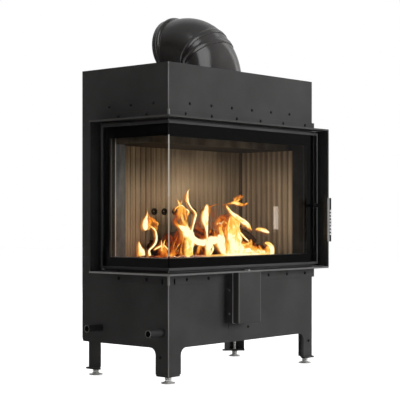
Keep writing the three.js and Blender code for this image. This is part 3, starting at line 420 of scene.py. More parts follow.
# Painted highlights on the casing's upright front corner and on the sockets' ends.
casing_corner_highlight = dict(x=near(0, 5, 3), y=near(0, 5, 3))
socket_end_highlight = dict(x=near(box("carry_socket_front")[0].x, 1, 1.6))
side_lining = box("lining_right")[0]
lining_joint = dict(x=near(side_lining.x, 4, 5), y=near(box("lining_back")[0].y, 5, 13))
front_pane, front_pane_top, _ = box("glass_front")
finish = {
    "casing_paint": stove_paint("casing_stove_paint", CASING_COLOUR, 0.5, marks=[(0.298, casing_corner_highlight)]),
    "trim_paint": trim_paint(),
    "door_paint": door_paint("door_frame_paint", 0.4, 13, z=(front_pane.z, front_pane_top.z)),
    "flue_enamel": flue_enamel(),
    "foot_zinc": zinc(),
    "socket_steel": stove_paint("socket_paint", (0.042, 0.042, 0.042), 0.32, 3, marks=[(0.245, socket_end_highlight)]),
    "bare_steel": steel("bare_steel", (0.34, 0.34, 0.35), 0.38, 300),
    "handle_steel": grip_steel(),
    "chamber_steel": sooty_steel("chamber_plate", (0.012, 0.012, 0.0125)),
    "lining": fireclay("ribbed_fireclay", 680, 0.75, lining_joint),
    "glass": fire_glass(),
    "seal_rope": knit_rope(),
    "dark_steel": lever_steel(),
}
for part in frame["record"]["subparts"]:
    node = nodes[part["node"]]
    node.data.materials.clear()
    node.data.materials.append(finish[part["material_slot"]])

pillar_mat = pillar_steel()
hinge_mat = stove_paint("blackened_hinge", (0.0455, 0.0455, 0.0455), 0.35, 4, 0.0008)
for name, material in {
    "rear_pillar": pillar_mat,
    "log_guard": pillar_mat,
    "door_stile_right": door_paint("door_stile_paint", 0.36, -10),
    "air_box_cover": air_box_paint(),
    "hinge_top": hinge_mat,
    "hinge_bottom": hinge_mat,
    "ceiling_baffle": fireclay("baffle_fireclay", 700, 0.1),
    "lining_right": fireclay("side_fireclay", 680, 0.75, lining_joint, side_lining.y),
}.items():
    nodes[name].data.materials[0] = material

# Helpers for meshes


def make(name, mesh_data, material, body, smooth=None, closed=True):
    verts, faces = mesh_data
    mesh = bpy.data.meshes.new(name)
    mesh.from_pydata([tuple(v) for v in verts], [], faces)
    if closed:
        bm = bmesh.new()
        bm.from_mesh(mesh)
        bmesh.ops.recalc_face_normals(bm, faces=bm.faces)
        bm.to_mesh(mesh)
        bm.free()
    if smooth is not None:
        mesh.shade_smooth()
        mesh.set_sharp_from_angle(angle=math.radians(smooth))
    mesh.materials.append(material)
    piece = bpy.data.objects.new(name, mesh)
    bpy.context.scene.collection.objects.link(piece)
    if body:
        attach(piece, body)
    return piece


def joined(meshes):
    """Several meshes as one list of points and one of faces."""
    verts, faces = [], []
    for more, more_faces in meshes:
        shift = len(verts)
        verts += more
        faces += [tuple(i + shift for i in face) for face in more_faces]
    return verts, faces


def block(xs, ys, zs):
    faces = [(0, 1, 3, 2), (4, 6, 7, 5), (0, 4, 5, 1), (2, 3, 7, 6), (0, 2, 6, 4), (1, 5, 7, 3)]
    return [at(x, y, z) for x in xs for y in ys for z in zs], faces


def lathe_mesh(profile, steps, place):
    """A closed or axis-to-axis profile of (radius, height), turned and mapped by place(x, y, height)."""
    verts, faces, rings = [], [], []
    for r, h in profile:
        angles = [2 * math.pi * i / steps for i in range(steps)] if r else [0]
        rings.append(range(len(verts), len(verts) + len(angles)))
        verts += [place(r * math.cos(a), r * math.sin(a), h) for a in angles]
    for a, b in zip(rings, rings[1:]):
        if len(a) == 1 and len(b) == 1:
            continue
        for i in range(steps):
            j = (i + 1) % steps
            if len(a) == 1:
                faces.append((a[0], b[i], b[j]))
            elif len(b) == 1:
                faces.append((a[i], b[0], a[j]))
            else:
                faces.append((a[i], b[i], b[j], a[j]))
    return verts, faces


def turned(profile, steps, origin, direction=(0, 0, 1)):
    """A profile turned about an axis that leaves an origin in a direction."""
    turn = Vector((0, 0, 1)).rotation_difference(Vector(direction)).to_matrix()
    return lathe_mesh(profile, steps, lambda x, y, h: at(*(Vector(origin) + turn @ Vector((x, y, h)))))


# Flue elbow, with smooth versions of its three segments

flue_low, flue_high, _ = box("elbow_outlet_segment")
_, _, FLUE = box("flue_spigot")
WALL = 2.5
BEND = 138
BEND_START = flue_high.z - (flue_high.x - flue_low.x) / 2 - BEND
BEND_LENGTH = BEND * math.pi / 2
OUTLET_END = BEND_LENGTH + flue_high.y - FLUE.y - BEND
PIPE_RADIUS = 99.9
FOOT_RADIUS = 104.4
LAP = 6
SEAM_ONE, SEAM_TWO = BEND * math.radians(34.5), BEND * math.radians(46.6)
BEAD = OUTLET_END - 30
BEAD_HEIGHT = 6.895
BEAD_HALF = 10.8


def along_flue(x, y, s):
    """A place beside the flue's axis, s mm after the start of its bend."""
    if s < 0:
        return at(FLUE.x + x, FLUE.y - y, BEND_START + s)
    if s > BEND_LENGTH:
        return at(FLUE.x + x, FLUE.y + BEND + s - BEND_LENGTH, BEND_START + BEND + y)
    turn = s / BEND
    reach = BEND + y
    return at(FLUE.x + x, FLUE.y + BEND - reach * math.cos(turn), BEND_START + reach * math.sin(turn))


def stations(a, b):
    """Places from a to b, about 5 mm apart."""
    count = max(1, math.ceil((b - a) / 5))
    return [a + (b - a) * i / count for i in range(count + 1)]


def flue_piece(name, outer, node):
    inner = [(r - WALL, s) for r, s in reversed(outer)]
    mesh_data = lathe_mesh(outer + inner + outer[:1], 96, along_flue)
    piece = make(name, mesh_data, finish["flue_enamel"], "flue_elbow", smooth=35)
    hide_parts(node)


def lapped(start, end, tail):
    """A segment's outside: a swollen lap over the segment before it, then the plain pipe."""
    rim = PIPE_RADIUS + 1.9
    crest = PIPE_RADIUS + 2.6
    shoulder = start + LAP + 0.3
    lap = [(rim, start - 3), (crest, start - 1.8), (crest, shoulder)]
    lap += [(rim, shoulder + 2), (PIPE_RADIUS + 0.5, shoulder + 4)]
    return lap + [(PIPE_RADIUS, s) for s in stations(shoulder + 5, end)] + tail


def elbow():
    taper = SEAM_ONE - LAP
    foot = [(FOOT_RADIUS, box("elbow_foot_segment")[0].z + 0.2 - BEND_START)]
    foot += [(FOOT_RADIUS + (PIPE_RADIUS - FOOT_RADIUS) * s / taper, s) for s in stations(0, taper)]
    foot.append((PIPE_RADIUS, SEAM_ONE + LAP))
    bead = [math.pi * k / 16 for k in range(-7, 8)]
    tail = [(PIPE_RADIUS, BEAD - 12)]
    tail += [(PIPE_RADIUS + BEAD_HEIGHT * math.cos(a), BEAD + BEAD_HALF * math.sin(a)) for a in bead]
    tail += [(PIPE_RADIUS, BEAD + 12), (PIPE_RADIUS, OUTLET_END - 1), (PIPE_RADIUS - 0.5, OUTLET_END - 0.1)]
    flue_piece("elbow_foot", foot, "elbow_foot_segment")
    flue_piece("elbow_middle", lapped(SEAM_ONE, SEAM_TWO + LAP, []), "elbow_middle_segment")
    flue_piece("elbow_outlet", lapped(SEAM_TWO, BEND_LENGTH, tail), "elbow_outlet_segment")


elbow()

# Levelling feet and carrying sockets


def foot(name):
    """A round pad with a neck and a collar, a ridged rod, and a lock nut under the leg's plate."""
    _, _, middle = box(name)
    place = (middle.x, middle.y, 0)
    profile = [
        (0, 0.1), (22.5, 0.1), (23.8, 1.2), (23.8, 2.6), (22.6, 3.9), (15, 5.2), (12.2, 7), (9.6, 10.5),
        (9.2, 12.5), (11.3, 13.4), (11.4, 14.2), (5.2, 14.4),
    ]
    for turn in range(41):
        z = 14.6 + 1.5 * turn
        profile += [(5.7, z), (5.0, z + 0.75)]
    profile += [(4.4, 77), (0, 77.4)]
    nut = [(5.6, 15.6), (10.6, 15.6), (11.2, 16.4), (11.2, 20.6), (10.6, 21.4), (5.6, 21.4), (5.6, 15.6)]
    mesh_data = joined([turned(profile, 28, place), turned(nut, 6, place)])
    piece = make(name + "_levelling", mesh_data, finish["foot_zinc"], name, smooth=38)
    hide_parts(name)


for name in ("foot_front_left", "foot_front_right", "foot_rear_left", "foot_rear_right"):
    foot(name)


def socket(name):
    low, high, middle = box(name)
    out, end = low.x + 0.1, high.x - 0.1
    profile = [
        (10.6, out + 0.5), (11.2, out), (12.3, out), (12.9, out + 0.7), (12.9, end), (10.6, end),
        (10.6, out + 0.5),
    ]
    mesh_data = turned(profile, 40, (0, middle.y, middle.z), (1, 0, 0))
    piece = make(name + "_tube", mesh_data, finish["socket_steel"], "casing", smooth=35)
    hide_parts(name)


socket("carry_socket_front")
socket("carry_socket_rear")

# Screws

FRONT, LEFT, RIGHT = (0, -1, 0), (-1, 0, 0), (1, 0, 0)
FLANGE_OUT = -box("flange_top")[0].y
# The heights of the rows of screws
HOOD_ROW, TOP_ROW, LOW_ROW, LEG_ROW = 935, 899, 343, 86
HIDDEN_BY_AIR_BOX = 2
# The nut and the upright slot in the casing, below the air box
NUT_X, NUT_Z = 416.7, 163.5
SLOT_X, SLOT_Z = (305.7, 308.3), (162, 180)


def screws(name, places, material, radius=5.0, height=3.2):
    """Domed screws with a socket, on a thin washer; places are (x, y, z, outward direction)."""
    r, h = radius, height
    profile = [
        (0, h * 0.35), (r * 0.42, h * 0.35), (r * 0.46, h * 0.96), (r * 0.62, h * 0.9), (r * 0.85, h * 0.66),
        (r, h * 0.3), (r, 0.35), (r * 1.25, 0.3), (r * 1.25, 0.0), (0, 0.0),
    ]
    meshes = [turned(profile, 18, (x, y, z), direction) for x, y, z, direction in places]
    make(name, joined(meshes), material, "casing", smooth=40)


def row(side, start, pitch, count, z, out=0.0):
    """Places in a level row along the front or the left side."""
    along = [start + pitch * k for k in range(count)]
    return [(u, -out, z, FRONT) if side == FRONT else (-out, u, z, LEFT) for u in along]


def all_screws():
    low_row = row(FRONT, 87, 110.7, 7, LOW_ROW, FLANGE_OUT)
    del low_row[HIDDEN_BY_AIR_BOX]
    places = row(FRONT, 106, 110.7, 6, HOOD_ROW) + row(FRONT, 82, 134, 6, TOP_ROW, FLANGE_OUT) + low_row
    places += row(LEFT, 70, 105, 3, HOOD_ROW) + row(LEFT, 98, 133, 2, TOP_ROW, FLANGE_OUT)
    places += row(LEFT, 98, 132, 2, LOW_ROW, FLANGE_OUT)
    places += [(0, 38, LEG_ROW, LEFT), (779, 0, LEG_ROW, FRONT)]
    dark = stove_paint("blackened_screw", (0.0175, 0.0175, 0.0175), 0.28, 5, 0.0005)
    screws("casing_screws", places, dark)
    screws("air_box_nut", [(NUT_X, 0, NUT_Z, FRONT)], dark, 4.6, 3.6)
    make("air_box_slot", block(SLOT_X, (-0.15, 0.2), SLOT_Z), dark, "casing")
    low, high, _ = box("air_box_tray")
    places = [(x, low.y / 2, z, side) for x, side in ((low.x, LEFT), (high.x, RIGHT)) for z in (298, 216)]
    screws("air_box_screws", places, steel("screw_steel", (0.42, 0.42, 0.43), 0.36, 600), 3.2, 2.0)


all_screws()

# Glass print and the painted highlight on the corner of the glass

BORDER_BELOW, BORDER_ABOVE, BORDER_RIGHT, BORDER_REAR = 30, 40, 41, 34
STRIP_FROM, STRIP_TO = 424, 824


def print_frame():
    """The black border printed on the inner face of both panes."""
    low, high, _ = box("glass_front")
    inside = high.y + 0.15
    sheet = near(inside, 0.1, 0.1)
    right, rear = high.x - 0.3, box("glass_side")[1].y - 0.5
    bottom = near(low.z + 0.2, 0, BORDER_BELOW)
    top = near(high.z - 0.2, BORDER_ABOVE, 0)
    upright = (bottom[1], top[0])
    front = [((inside, right), top), ((inside, right), bottom), (near(right, BORDER_RIGHT, 0), upright)]
    side = [((inside, rear), top), ((inside, rear), bottom), (near(rear, BORDER_REAR, 0), upright)]
    slabs = [block(along, sheet, heights) for along, heights in front]
    slabs += [block(sheet, along, heights) for along, heights in side]
    make("glass_print", joined(slabs), enamel_print(), "door")


def corner_strip():
    outline = [(-20.1, -17.0), (-17.0, -20.1), (-16.2, -18.6), (-18.6, -16.2)]
    verts = [at(x, y, z) for z in (STRIP_FROM, STRIP_TO) for x, y in outline]
    faces = [(0, 1, 2, 3), (7, 6, 5, 4), (0, 4, 5, 1), (1, 5, 6, 2), (2, 6, 7, 3), (3, 7, 4, 0)]
    make("glass_corner_edge", (verts, faces), corner_edge(), "door")


print_frame()
corner_strip()

# Materials of the fire


def log_wood():
    n = Net("charred_log", Roughness=0.9, Specular_IOR_Level=0.15)
    bark = n.noise(60, 5, 0.65)
    patches = n.noise(14, 3, 0.6)
    cracks = n.add("TexVoronoi", feature="DISTANCE_TO_EDGE", Vector=n.coord, Scale=75).outputs["Distance"]
    base = n.mix(n.range(bark, 0.35, 0.65, 0, 1), (0.006, 0.004, 0.003), (0.04, 0.02, 0.011))
    n.set("Base Color", n.mix(n.range(patches, 0.45, 0.62, 0, 0.6), base, (0.07, 0.04, 0.022)))
    hot = n.times(n.range(cracks, 0.07, 0.0, 0.0, 1.0), n.range(patches, 0.5, 0.4, 0.0, 1.0))
    glowing = n.ramp(hot, (0.0, (0.5, 0.03, 0.0)), (0.6, (1.0, 0.25, 0.03)), (1.0, (1.0, 0.6, 0.2)))
    n.set("Emission Color", glowing)
    n.set("Emission Strength", n.times(hot, 0.9))
    n.bump(n.math("ADD", bark, n.range(cracks, 0.0, 0.12, 0.0, 0.8)), 0.8, 0.003)
    return n.mat


def ember_bed():
    n = Net("ember_bed", Roughness=0.95, Specular_IOR_Level=0.1)
    lumps = n.add("TexVoronoi", Vector=n.coord, Scale=95)
    fine = n.noise(130, 4, 0.7)
    wide = n.noise(11, 3, 0.5)
    n.set("Base Color", n.mix(n.range(fine, 0.4, 0.6, 0, 1), (0.012, 0.01, 0.009), (0.2, 0.17, 0.15)))
    heat = n.times(n.range(wide, 0.38, 0.62, 0.15, 1.1), n.range(fine, 0.42, 0.62, 0.0, 1.0))
    glowing = n.ramp(
        heat, (0.0, (0.35, 0.01, 0.0)), (0.45, (1.0, 0.16, 0.02)), (0.8, (1.0, 0.55, 0.16)),
        (1.0, (1.0, 0.9, 0.6)),
    )
    n.set("Emission Color", glowing)
    n.set("Emission Strength", n.times(heat, 1.2))
    n.bump(lumps.outputs["Distance"], 0.9, 0.004)
    return n.mat


def flame():
    """Light from the sheets' own values: distance from the edge, heat, cover and place."""
    n = Net("flame")
    n.tree.nodes.remove(n.bsdf)

    def value(name, output="Fac"):
        return n.add("Attribute", attribute_name=name).outputs[output]

    edge, heat, cover = value("edge"), value("glow"), value("cover")
    sheet = value("sheet", "Vector")
    streak = n.add("TexNoise", Vector=sheet, Scale=1, Detail=2, Distortion=0.5).outputs["Fac"]
    body = n.range(edge, 0.0, 0.36, 0.0, 1.0)
    veil = n.times(body, cover, n.range(streak, 0.4, 0.58, 0.25, 1.0))
    core = n.times(body, n.range(heat, 0.55, 0.75, 0.0, 1.0), cover)
    inner = n.times(heat, n.range(edge, 0.0, 0.5, 0.62, 1.06))
    warmth = n.math("ADD", inner, n.range(streak, 0.3, 0.66, -0.2, 0.16))
    colour = n.ramp(
        warmth, (0.0, (0.25, 0.015, 0.0)), (0.25, (0.6, 0.08, 0.006)), (0.5, (0.95, 0.27, 0.025)),
        (0.72, (1.0, 0.48, 0.07)), (0.88, (1.0, 0.66, 0.17)), (1.0, (1.0, 0.88, 0.56)),
    )
    light = n.add("Emission", colour, n.range(warmth, 0.2, 0.8, 0.8, 1.5)).outputs[0]
    clear = n.add("BsdfTransparent").outputs[0]
    n.put(n.out, n.add("MixShader", n.math("MAXIMUM", veil, core), clear, light).outputs[0])
    return n.mat


# Flames

# The photograph's camera: its place, its level direction, and the picture's scale and middle in pixels.
CAMERA = (-2894, -2690, 548)
AHEAD, ASIDE = 0.7501, 0.6613
PHOTO_SIZE = 400
PHOTO_SCALE = 1197
SENSOR = 36
PHOTO_MIDDLE = (200, 218.5)
CORNER_AHEAD = -CAMERA[0] * AHEAD - CAMERA[1] * ASIDE
CORNER_ASIDE = -CAMERA[0] * ASIDE + CAMERA[1] * AHEAD

# The fire's plane runs forwards to the right. PLANE_Y is its y where x is 0.
FIRE_SLANT = 1 / 6
PLANE_Y = 200
PLANE_FACING = (ASIDE + AHEAD * FIRE_SLANT) / math.hypot(1, FIRE_SLANT)

# The flames, traced in the photograph. Each has its depth behind the fire's plane in mm, its cover,
# and its line as (u, v, width, heat), with the first three in pixels.
FLAMES = [
    # The small flame at the left end
    (0, 1, [(141.6, 255.8, 6.6, 0.95), (141.3, 252, 6.2, 1), (140.5, 249, 4.6, 1), (139.9, 246, 2.8, 0.95),
        (139.5, 243.5, 1.4, 0.85), (139.3, 241, 0.4, 0.6)]),
    (12, 0.6, [(141.2, 256, 9.5, 0.45), (140.6, 251, 7.5, 0.42), (139.8, 246, 4, 0.35),
        (139.4, 242, 1.5, 0.3)]),
    # The hooked flame on the left
    (0, 1, [(147.2, 229.5, 3, 0.7), (148.8, 225.5, 5, 0.62), (150.2, 221, 4.6, 0.55), (149.6, 217, 2, 0.5),
        (148.6, 214, 0.6, 0.4)]),
    (0, 1, [(146.3, 230.4, 2.2, 0.75), (145.9, 228.6, 4.6, 0.95), (145.2, 225, 5.7, 1),
        (145.5, 221.5, 4.8, 1), (146.5, 218, 2.8, 0.97), (147.4, 215, 1.5, 0.85), (147.8, 212, 0.7, 0.6),
        (147.6, 209.5, 0.25, 0.35)]),
    (3, 0.85, [(148, 218.6, 5.5, 0.4), (150.6, 221.2, 8, 0.4), (153.2, 224.2, 7.5, 0.42),
        (155.4, 227, 5, 0.48), (156.6, 230.2, 2.6, 0.6)]),
    (4, 0.9, [(148.3, 215.2, 0.6, 0.5), (151.5, 218, 0.8, 0.6), (155, 220.8, 0.9, 0.62),
        (158.3, 223.4, 1.1, 0.6), (157.4, 226, 0.8, 0.5)]),
    (0, 1, [(148.4, 224.8, 1.6, 0.85), (150.8, 226.2, 1.6, 0.85), (153.2, 227.8, 1.8, 0.85),
        (155.2, 230, 2, 0.9), (156.4, 233.5, 2.1, 0.95), (156.9, 237.5, 2, 1), (156.4, 241.2, 2, 1),
        (155.1, 244.2, 1.9, 0.95), (152.8, 247, 1.9, 0.92), (150.6, 249, 1.9, 0.92), (149.5, 251, 2, 0.95),
        (149.6, 253.3, 2.3, 1), (150.1, 256, 2.6, 1)]),
    # The low bush by the corner of the glass
    (6, 0.75, [(164, 256.5, 8.5, 0.35), (163.8, 251, 7, 0.4), (163.2, 246.5, 3.4, 0.5),
        (162.9, 244, 1.6, 0.55)]),
    (0, 1, [(162, 251, 2.2, 0.6), (161.8, 247, 1.8, 0.75), (161.9, 243.6, 1.2, 0.82),
        (161.7, 239.8, 0.45, 0.7)]),
    (0, 1, [(163.4, 248, 1.3, 0.65), (164.1, 244.5, 1.2, 0.8), (164.7, 241.6, 0.9, 0.8),
        (165.8, 239.6, 0.5, 0.7)]),
    (0, 1, [(162.2, 245.6, 1.4, 0.75), (159.6, 246.8, 1.8, 0.85), (156.8, 248.4, 1.6, 0.92),
        (154.4, 249.8, 0.8, 0.8)]),
    (0, 1, [(163.2, 244.3, 1.1, 0.8), (165.6, 246.4, 1.3, 0.9), (168, 248.9, 1.2, 0.85),
        (169, 251, 0.8, 0.6)]),
    (14, 0.7, [(158, 257, 5, 0.3), (161, 254.5, 7, 0.25), (166, 254, 6, 0.22), (170, 254.5, 4, 0.3)]),
    # The tall wavy flame
    (-8, 1, [(190.4, 235, 3.6, 1.1), (191.4, 230, 2.4, 1), (192.8, 225, 1.9, 1), (194.4, 219, 2.1, 1),
        (195.2, 214.6, 2.2, 1), (194.2, 211.4, 1.7, 1), (191.6, 208.8, 1.3, 0.97), (189.6, 206, 1.3, 0.97),
        (188, 202.8, 1.8, 1), (187, 199.3, 2.3, 1), (186.8, 195.5, 2.2, 1), (187.2, 192.2, 1.4, 0.95),
        (188.4, 190, 0.6, 0.7), (190, 189.2, 0.3, 0.5)]),
    (6, 0.15, [(187.4, 207, 2.6, 0.22), (185.2, 202, 3.6, 0.2), (183.8, 197.5, 3.2, 0.18),
        (184.6, 193, 1.5, 0.16)]),
    (-6, 0.9, [(187.2, 202.5, 1.2, 0.8), (185.7, 200.8, 1, 0.6), (184.9, 198.8, 0.5, 0.5)]),
    # The horned flame and its stream to the right
    (-2, 1, [(179.3, 207, 2, 0.65), (178.8, 203.6, 1.6, 0.78), (177.8, 201.3, 1.2, 0.78),
        (176.2, 199.1, 0.45, 0.6)]),
    (-2, 1, [(179.8, 206.2, 1.6, 0.72), (180.7, 203, 1.1, 0.78), (181.7, 199.3, 0.4, 0.6)]),
    (-3, 1, [(180.2, 205.6, 1.3, 0.8), (177.6, 206.6, 1.2, 0.8), (175.2, 208.7, 1.2, 0.75),
        (174.1, 211.2, 0.8, 0.6)]),
    (-3, 1, [(180, 205.4, 1.4, 0.85), (182.2, 206, 1.3, 0.87), (184.5, 208.6, 1.5, 0.9),
        (187.4, 210.5, 1.8, 0.9), (188.1, 212.2, 1.9, 0.85), (186.9, 215, 2.1, 0.72),
        (185.5, 218.8, 2.1, 0.6)]),
    (2, 0.86, [(180.2, 205.8, 4.5, 0.6), (180.5, 210, 10.5, 0.5), (181, 215.5, 12, 0.5),
        (182, 220.5, 10, 0.58), (183.4, 225, 7.5, 0.72), (185.3, 229.2, 7, 0.9), (188, 233.4, 7.5, 1)]),
    (-1, 0.9, [(180.6, 209, 2.4, 0.75), (180.9, 214, 2.8, 0.72), (182, 219, 2.6, 0.75),
        (184, 224, 2.6, 0.85), (187, 230, 3, 0.95)]),
    (1, 0.9, [(177, 212.6, 2.6, 0.3), (175.6, 217.5, 3, 0.24), (174.5, 221.3, 3.8, 0.22),
        (175.8, 224, 3.2, 0.33), (178.3, 226.2, 2.6, 0.6), (181, 228.6, 3, 0.9)]),
    (-6, 1, [(177.4, 225.2, 1.4, 0.8), (180.2, 227, 4, 0.95), (183.2, 229.6, 7, 1.05),
        (186.4, 233, 9.5, 1.2), (190, 237, 9.5, 1.2), (194, 240.4, 7.5, 1.2), (198.5, 242.2, 6.5, 1.2),
        (203, 242.6, 7, 1.2), (208, 241.6, 8, 1.2), (213, 240.4, 9, 1.2), (218, 240, 9.5, 1.15),
        (223, 241, 8, 1)]),
    (-4, 1, [(187.6, 233, 7, 1.1), (188.6, 240, 9, 0.98), (188.6, 246, 9, 0.86), (188, 252, 9, 0.86),
        (187.6, 259.5, 9, 0.95)]),
    (8, 0.5, [(180.6, 229, 5, 0.3), (178.6, 235, 5.5, 0.24), (177.8, 240, 5, 0.22),
        (178.6, 245.5, 3.5, 0.2)]),
    (4, 0.75, [(184, 237, 1.6, 0.5), (181.4, 241, 1.3, 0.5), (178.4, 244.4, 1.1, 0.48),
        (176, 248.6, 1, 0.42), (173.4, 252.8, 1.2, 0.42)]),
    (5, 0.8, [(167.5, 257, 5, 0.8), (170.4, 254.9, 5, 0.6), (174, 253.7, 4, 0.4),
        (177.4, 252.4, 2.4, 0.25)]),
    (9, 0.6, [(182.5, 256.5, 9, 0.3), (182, 250, 10, 0.26), (181.4, 243, 9, 0.26), (181.6, 236, 6, 0.32),
        (182, 231, 3, 0.4)]),
    (2, 0.8, [(181.4, 257, 2.6, 0.55), (180.6, 250, 2.2, 0.46), (181.6, 243.5, 1.8, 0.5),
        (183, 237.5, 2, 0.7), (184, 232.5, 2, 0.9)]),
    (6, 0.7, [(173, 257, 7, 0.36), (172.6, 251, 7, 0.24), (173.6, 244, 6, 0.2), (175, 237, 4, 0.18),
        (175.8, 231, 1.5, 0.15)]),
    (0, 0.8, [(173.6, 255, 1.2, 0.5), (172.8, 249.5, 1, 0.42), (173.8, 244, 0.9, 0.4),
        (176.2, 238.5, 0.8, 0.4), (178.2, 234, 0.5, 0.35)]),
    # The dark red glow over the logs behind
    (16, 0.6, [(170, 236, 8, 0.14), (166, 241, 10, 0.12), (161, 246, 10, 0.12), (156, 250, 7, 0.12)]),
    (16, 0.55, [(193, 226, 5, 0.14), (198, 230, 11, 0.12), (204, 235, 12, 0.12), (212, 236, 9, 0.14),
        (218, 232, 6, 0.14)]),
    (12, 0.5, [(195, 226.5, 1.6, 0.3), (197.4, 221.5, 4, 0.24), (199.8, 219.6, 2.6, 0.24),
        (201.4, 223, 1.2, 0.2)]),
    # The foot of the fire in its middle
    (-12, 1, [(206.4, 258, 1.6, 0.8), (207, 252.4, 3, 0.95), (207.8, 248, 5.6, 1.1),
        (208.8, 243.6, 7.5, 1.2), (210.4, 239.8, 6, 1.15), (212, 236.6, 2, 1)]),
    (-12, 1, [(223.4, 258, 4, 0.9), (222.4, 252, 6, 1), (220.8, 246.4, 7.5, 1.1), (219.4, 241, 8.5, 1.15),
        (218.6, 237.2, 6, 1.1), (218.4, 234.4, 2, 0.9)]),
    (-13, 0.95, [(210, 244, 3, 1.1), (212.4, 248, 2.4, 0.95), (211, 252.4, 2, 0.85),
        (208.6, 256, 1.6, 0.8)]),
    (3, 0.8, [(197, 257, 3, 0.5), (197.6, 251, 3, 0.42), (198.6, 246.5, 3, 0.6), (199.5, 243, 2, 0.8)]),
    (8, 0.6, [(201.5, 256, 8, 0.3), (201, 250, 8, 0.24), (200.4, 245, 6, 0.3)]),
    # The upright leaf in the middle
    (-6, 1, [(207.2, 244.5, 1.9, 1), (206.8, 239, 1.5, 1), (206.5, 234, 1.8, 1), (206, 229, 3, 1),
        (205, 223.5, 5.2, 1), (204.2, 218.5, 7, 1), (204.2, 215, 7.2, 1), (205.2, 211.5, 5.4, 0.96),
        (206, 208.6, 4.4, 0.92), (206.4, 206, 3.2, 0.85), (206.2, 204.2, 1.2, 0.6)]),
    (-2, 0.75, [(206.9, 226, 2, 0.55), (207.6, 219, 2.6, 0.5), (208.4, 213, 3.2, 0.5),
        (209.3, 208.4, 2.6, 0.5), (211.6, 205.4, 0.8, 0.5)]),
    (-3, 0.8, [(209, 207.2, 0.9, 0.55), (212, 205.7, 0.55, 0.5), (216, 204.4, 0.4, 0.4),
        (219.8, 203.1, 0.3, 0.3)]),
    (12, 0.28, [(213, 219, 7, 0.2), (213, 213, 7, 0.16), (213.6, 207.5, 4, 0.12)]),
    (6, 0.6, [(209.2, 234, 2, 0.35), (210.4, 227.6, 2.2, 0.33), (212.2, 221.2, 1.4, 0.3)]),
    (4, 0.8, [(215, 238, 1.1, 0.55), (213.8, 232, 0.9, 0.55), (213.2, 226.6, 0.6, 0.4)]),
    (4, 1, [(208.8, 257, 3.4, 0.9), (209, 250, 3, 0.9), (208.8, 245, 3.4, 0.97)]),
    (4, 0.9, [(205.6, 256.5, 1.4, 0.75), (205.2, 251, 1.1, 0.75), (204.8, 246, 1, 0.85)]),
    # The orange tops
    (6, 0.85, [(217.6, 229, 6, 0.36), (218.6, 223.5, 9.5, 0.3), (222, 220.4, 10, 0.26),
        (225, 217.4, 6, 0.26), (226.6, 214.6, 2, 0.3)]),
    (3, 0.8, [(224.4, 230, 6, 0.44), (225, 225, 6, 0.42), (226.4, 220, 4, 0.4)]),
    (-1, 0.9, [(216, 224.8, 1, 0.6), (218.2, 222.8, 2.4, 0.78), (220.6, 223.8, 2.2, 0.84),
        (223, 221.8, 2.4, 0.8), (225.6, 222.8, 1.8, 0.72), (228, 225, 1, 0.6)]),
    (-1, 0.9, [(220, 235, 3, 0.8), (219.6, 230, 3, 0.72), (219.8, 225, 3, 0.8)]),
    (-2, 1, [(221.2, 242, 7, 0.98), (220.9, 235, 4.6, 0.85), (220.3, 229, 2.8, 0.75),
        (220.3, 224, 2.6, 0.72)]),
    (5, 0.7, [(214.5, 238, 6, 0.6), (215.2, 232, 4.5, 0.4), (216.8, 227, 3.6, 0.35)]),
    # The wide blaze on the right
    (2, 1, [(233, 257, 20, 1), (233, 249, 19, 0.96), (232.6, 241, 16, 0.88), (231.8, 233, 13, 0.82),
        (231.4, 226, 11, 0.78), (231.2, 220, 8, 0.76), (231.2, 215.4, 4, 0.78)]),
    (4, 0.95, [(224.6, 257, 8, 0.8), (224.2, 249, 8, 0.62), (223.8, 241, 8, 0.6), (223.4, 233, 7, 0.52),
        (223, 226.5, 6, 0.45)]),
    (0, 0.95, [(225.4, 249, 5, 0.35), (226.2, 244.6, 5, 0.3), (226.6, 240.6, 3, 0.3)]),
    (-3, 1, [(226, 252.5, 9, 1.05), (236, 252.4, 12, 1), (246, 252.6, 12, 0.86), (256, 252.8, 9.5, 0.84),
        (266, 253.2, 6.5, 0.84), (272, 253.4, 4, 0.85)]),
    (-2, 0.95, [(235, 246.5, 6, 0.78), (241, 247, 9, 0.7), (247, 248, 9.5, 0.66), (252.5, 249.6, 8, 0.64),
        (257, 251, 5, 0.6)]),
    (-5, 0.9, [(234.4, 243, 2.4, 0.95), (239, 245.6, 2, 0.9), (243.6, 245, 2.2, 0.88),
        (248.4, 243.4, 2.4, 0.84), (251.4, 241.2, 1, 0.7)]),
    (-5, 0.9, [(236.6, 240.4, 3, 0.36), (240.2, 242.8, 3.4, 0.34), (244.2, 243, 2.6, 0.34),
        (247.8, 241.4, 1, 0.36)]),
    (-8, 1, [(248.4, 241.6, 1.2, 0.9), (244.6, 238, 1.8, 0.95), (241, 234.4, 2, 0.95),
        (238.2, 230.8, 1.8, 0.9), (236.8, 226.6, 1.6, 0.82), (236.4, 222, 1.2, 0.74)]),
    (-9, 1, [(231.4, 255, 4.6, 1.15), (230.4, 248, 3.6, 1.1), (229.2, 241, 3, 1), (228.2, 235, 2.4, 0.95),
        (227.8, 229, 2, 0.9), (228.4, 223, 1.6, 0.85), (229.4, 218, 1, 0.8)]),
    (-7, 0.9, [(222.2, 252, 2, 1), (223.6, 246, 1.3, 0.9), (222.8, 239, 1, 0.85), (221.4, 232.4, 0.9, 0.8),
        (220.4, 226.6, 0.8, 0.75)]),
    (-1, 0.97, [(238.4, 243, 6, 0.78), (236.6, 235, 7.5, 0.8), (235.6, 228, 7.5, 0.8),
        (236.6, 222, 6.5, 0.84), (239, 218.6, 3, 0.9)]),
    (1, 0.95, [(229, 241, 8, 0.94), (229.6, 232, 8, 0.88), (230.4, 223, 6.5, 0.82),
        (230.6, 216, 3.4, 0.85)]),
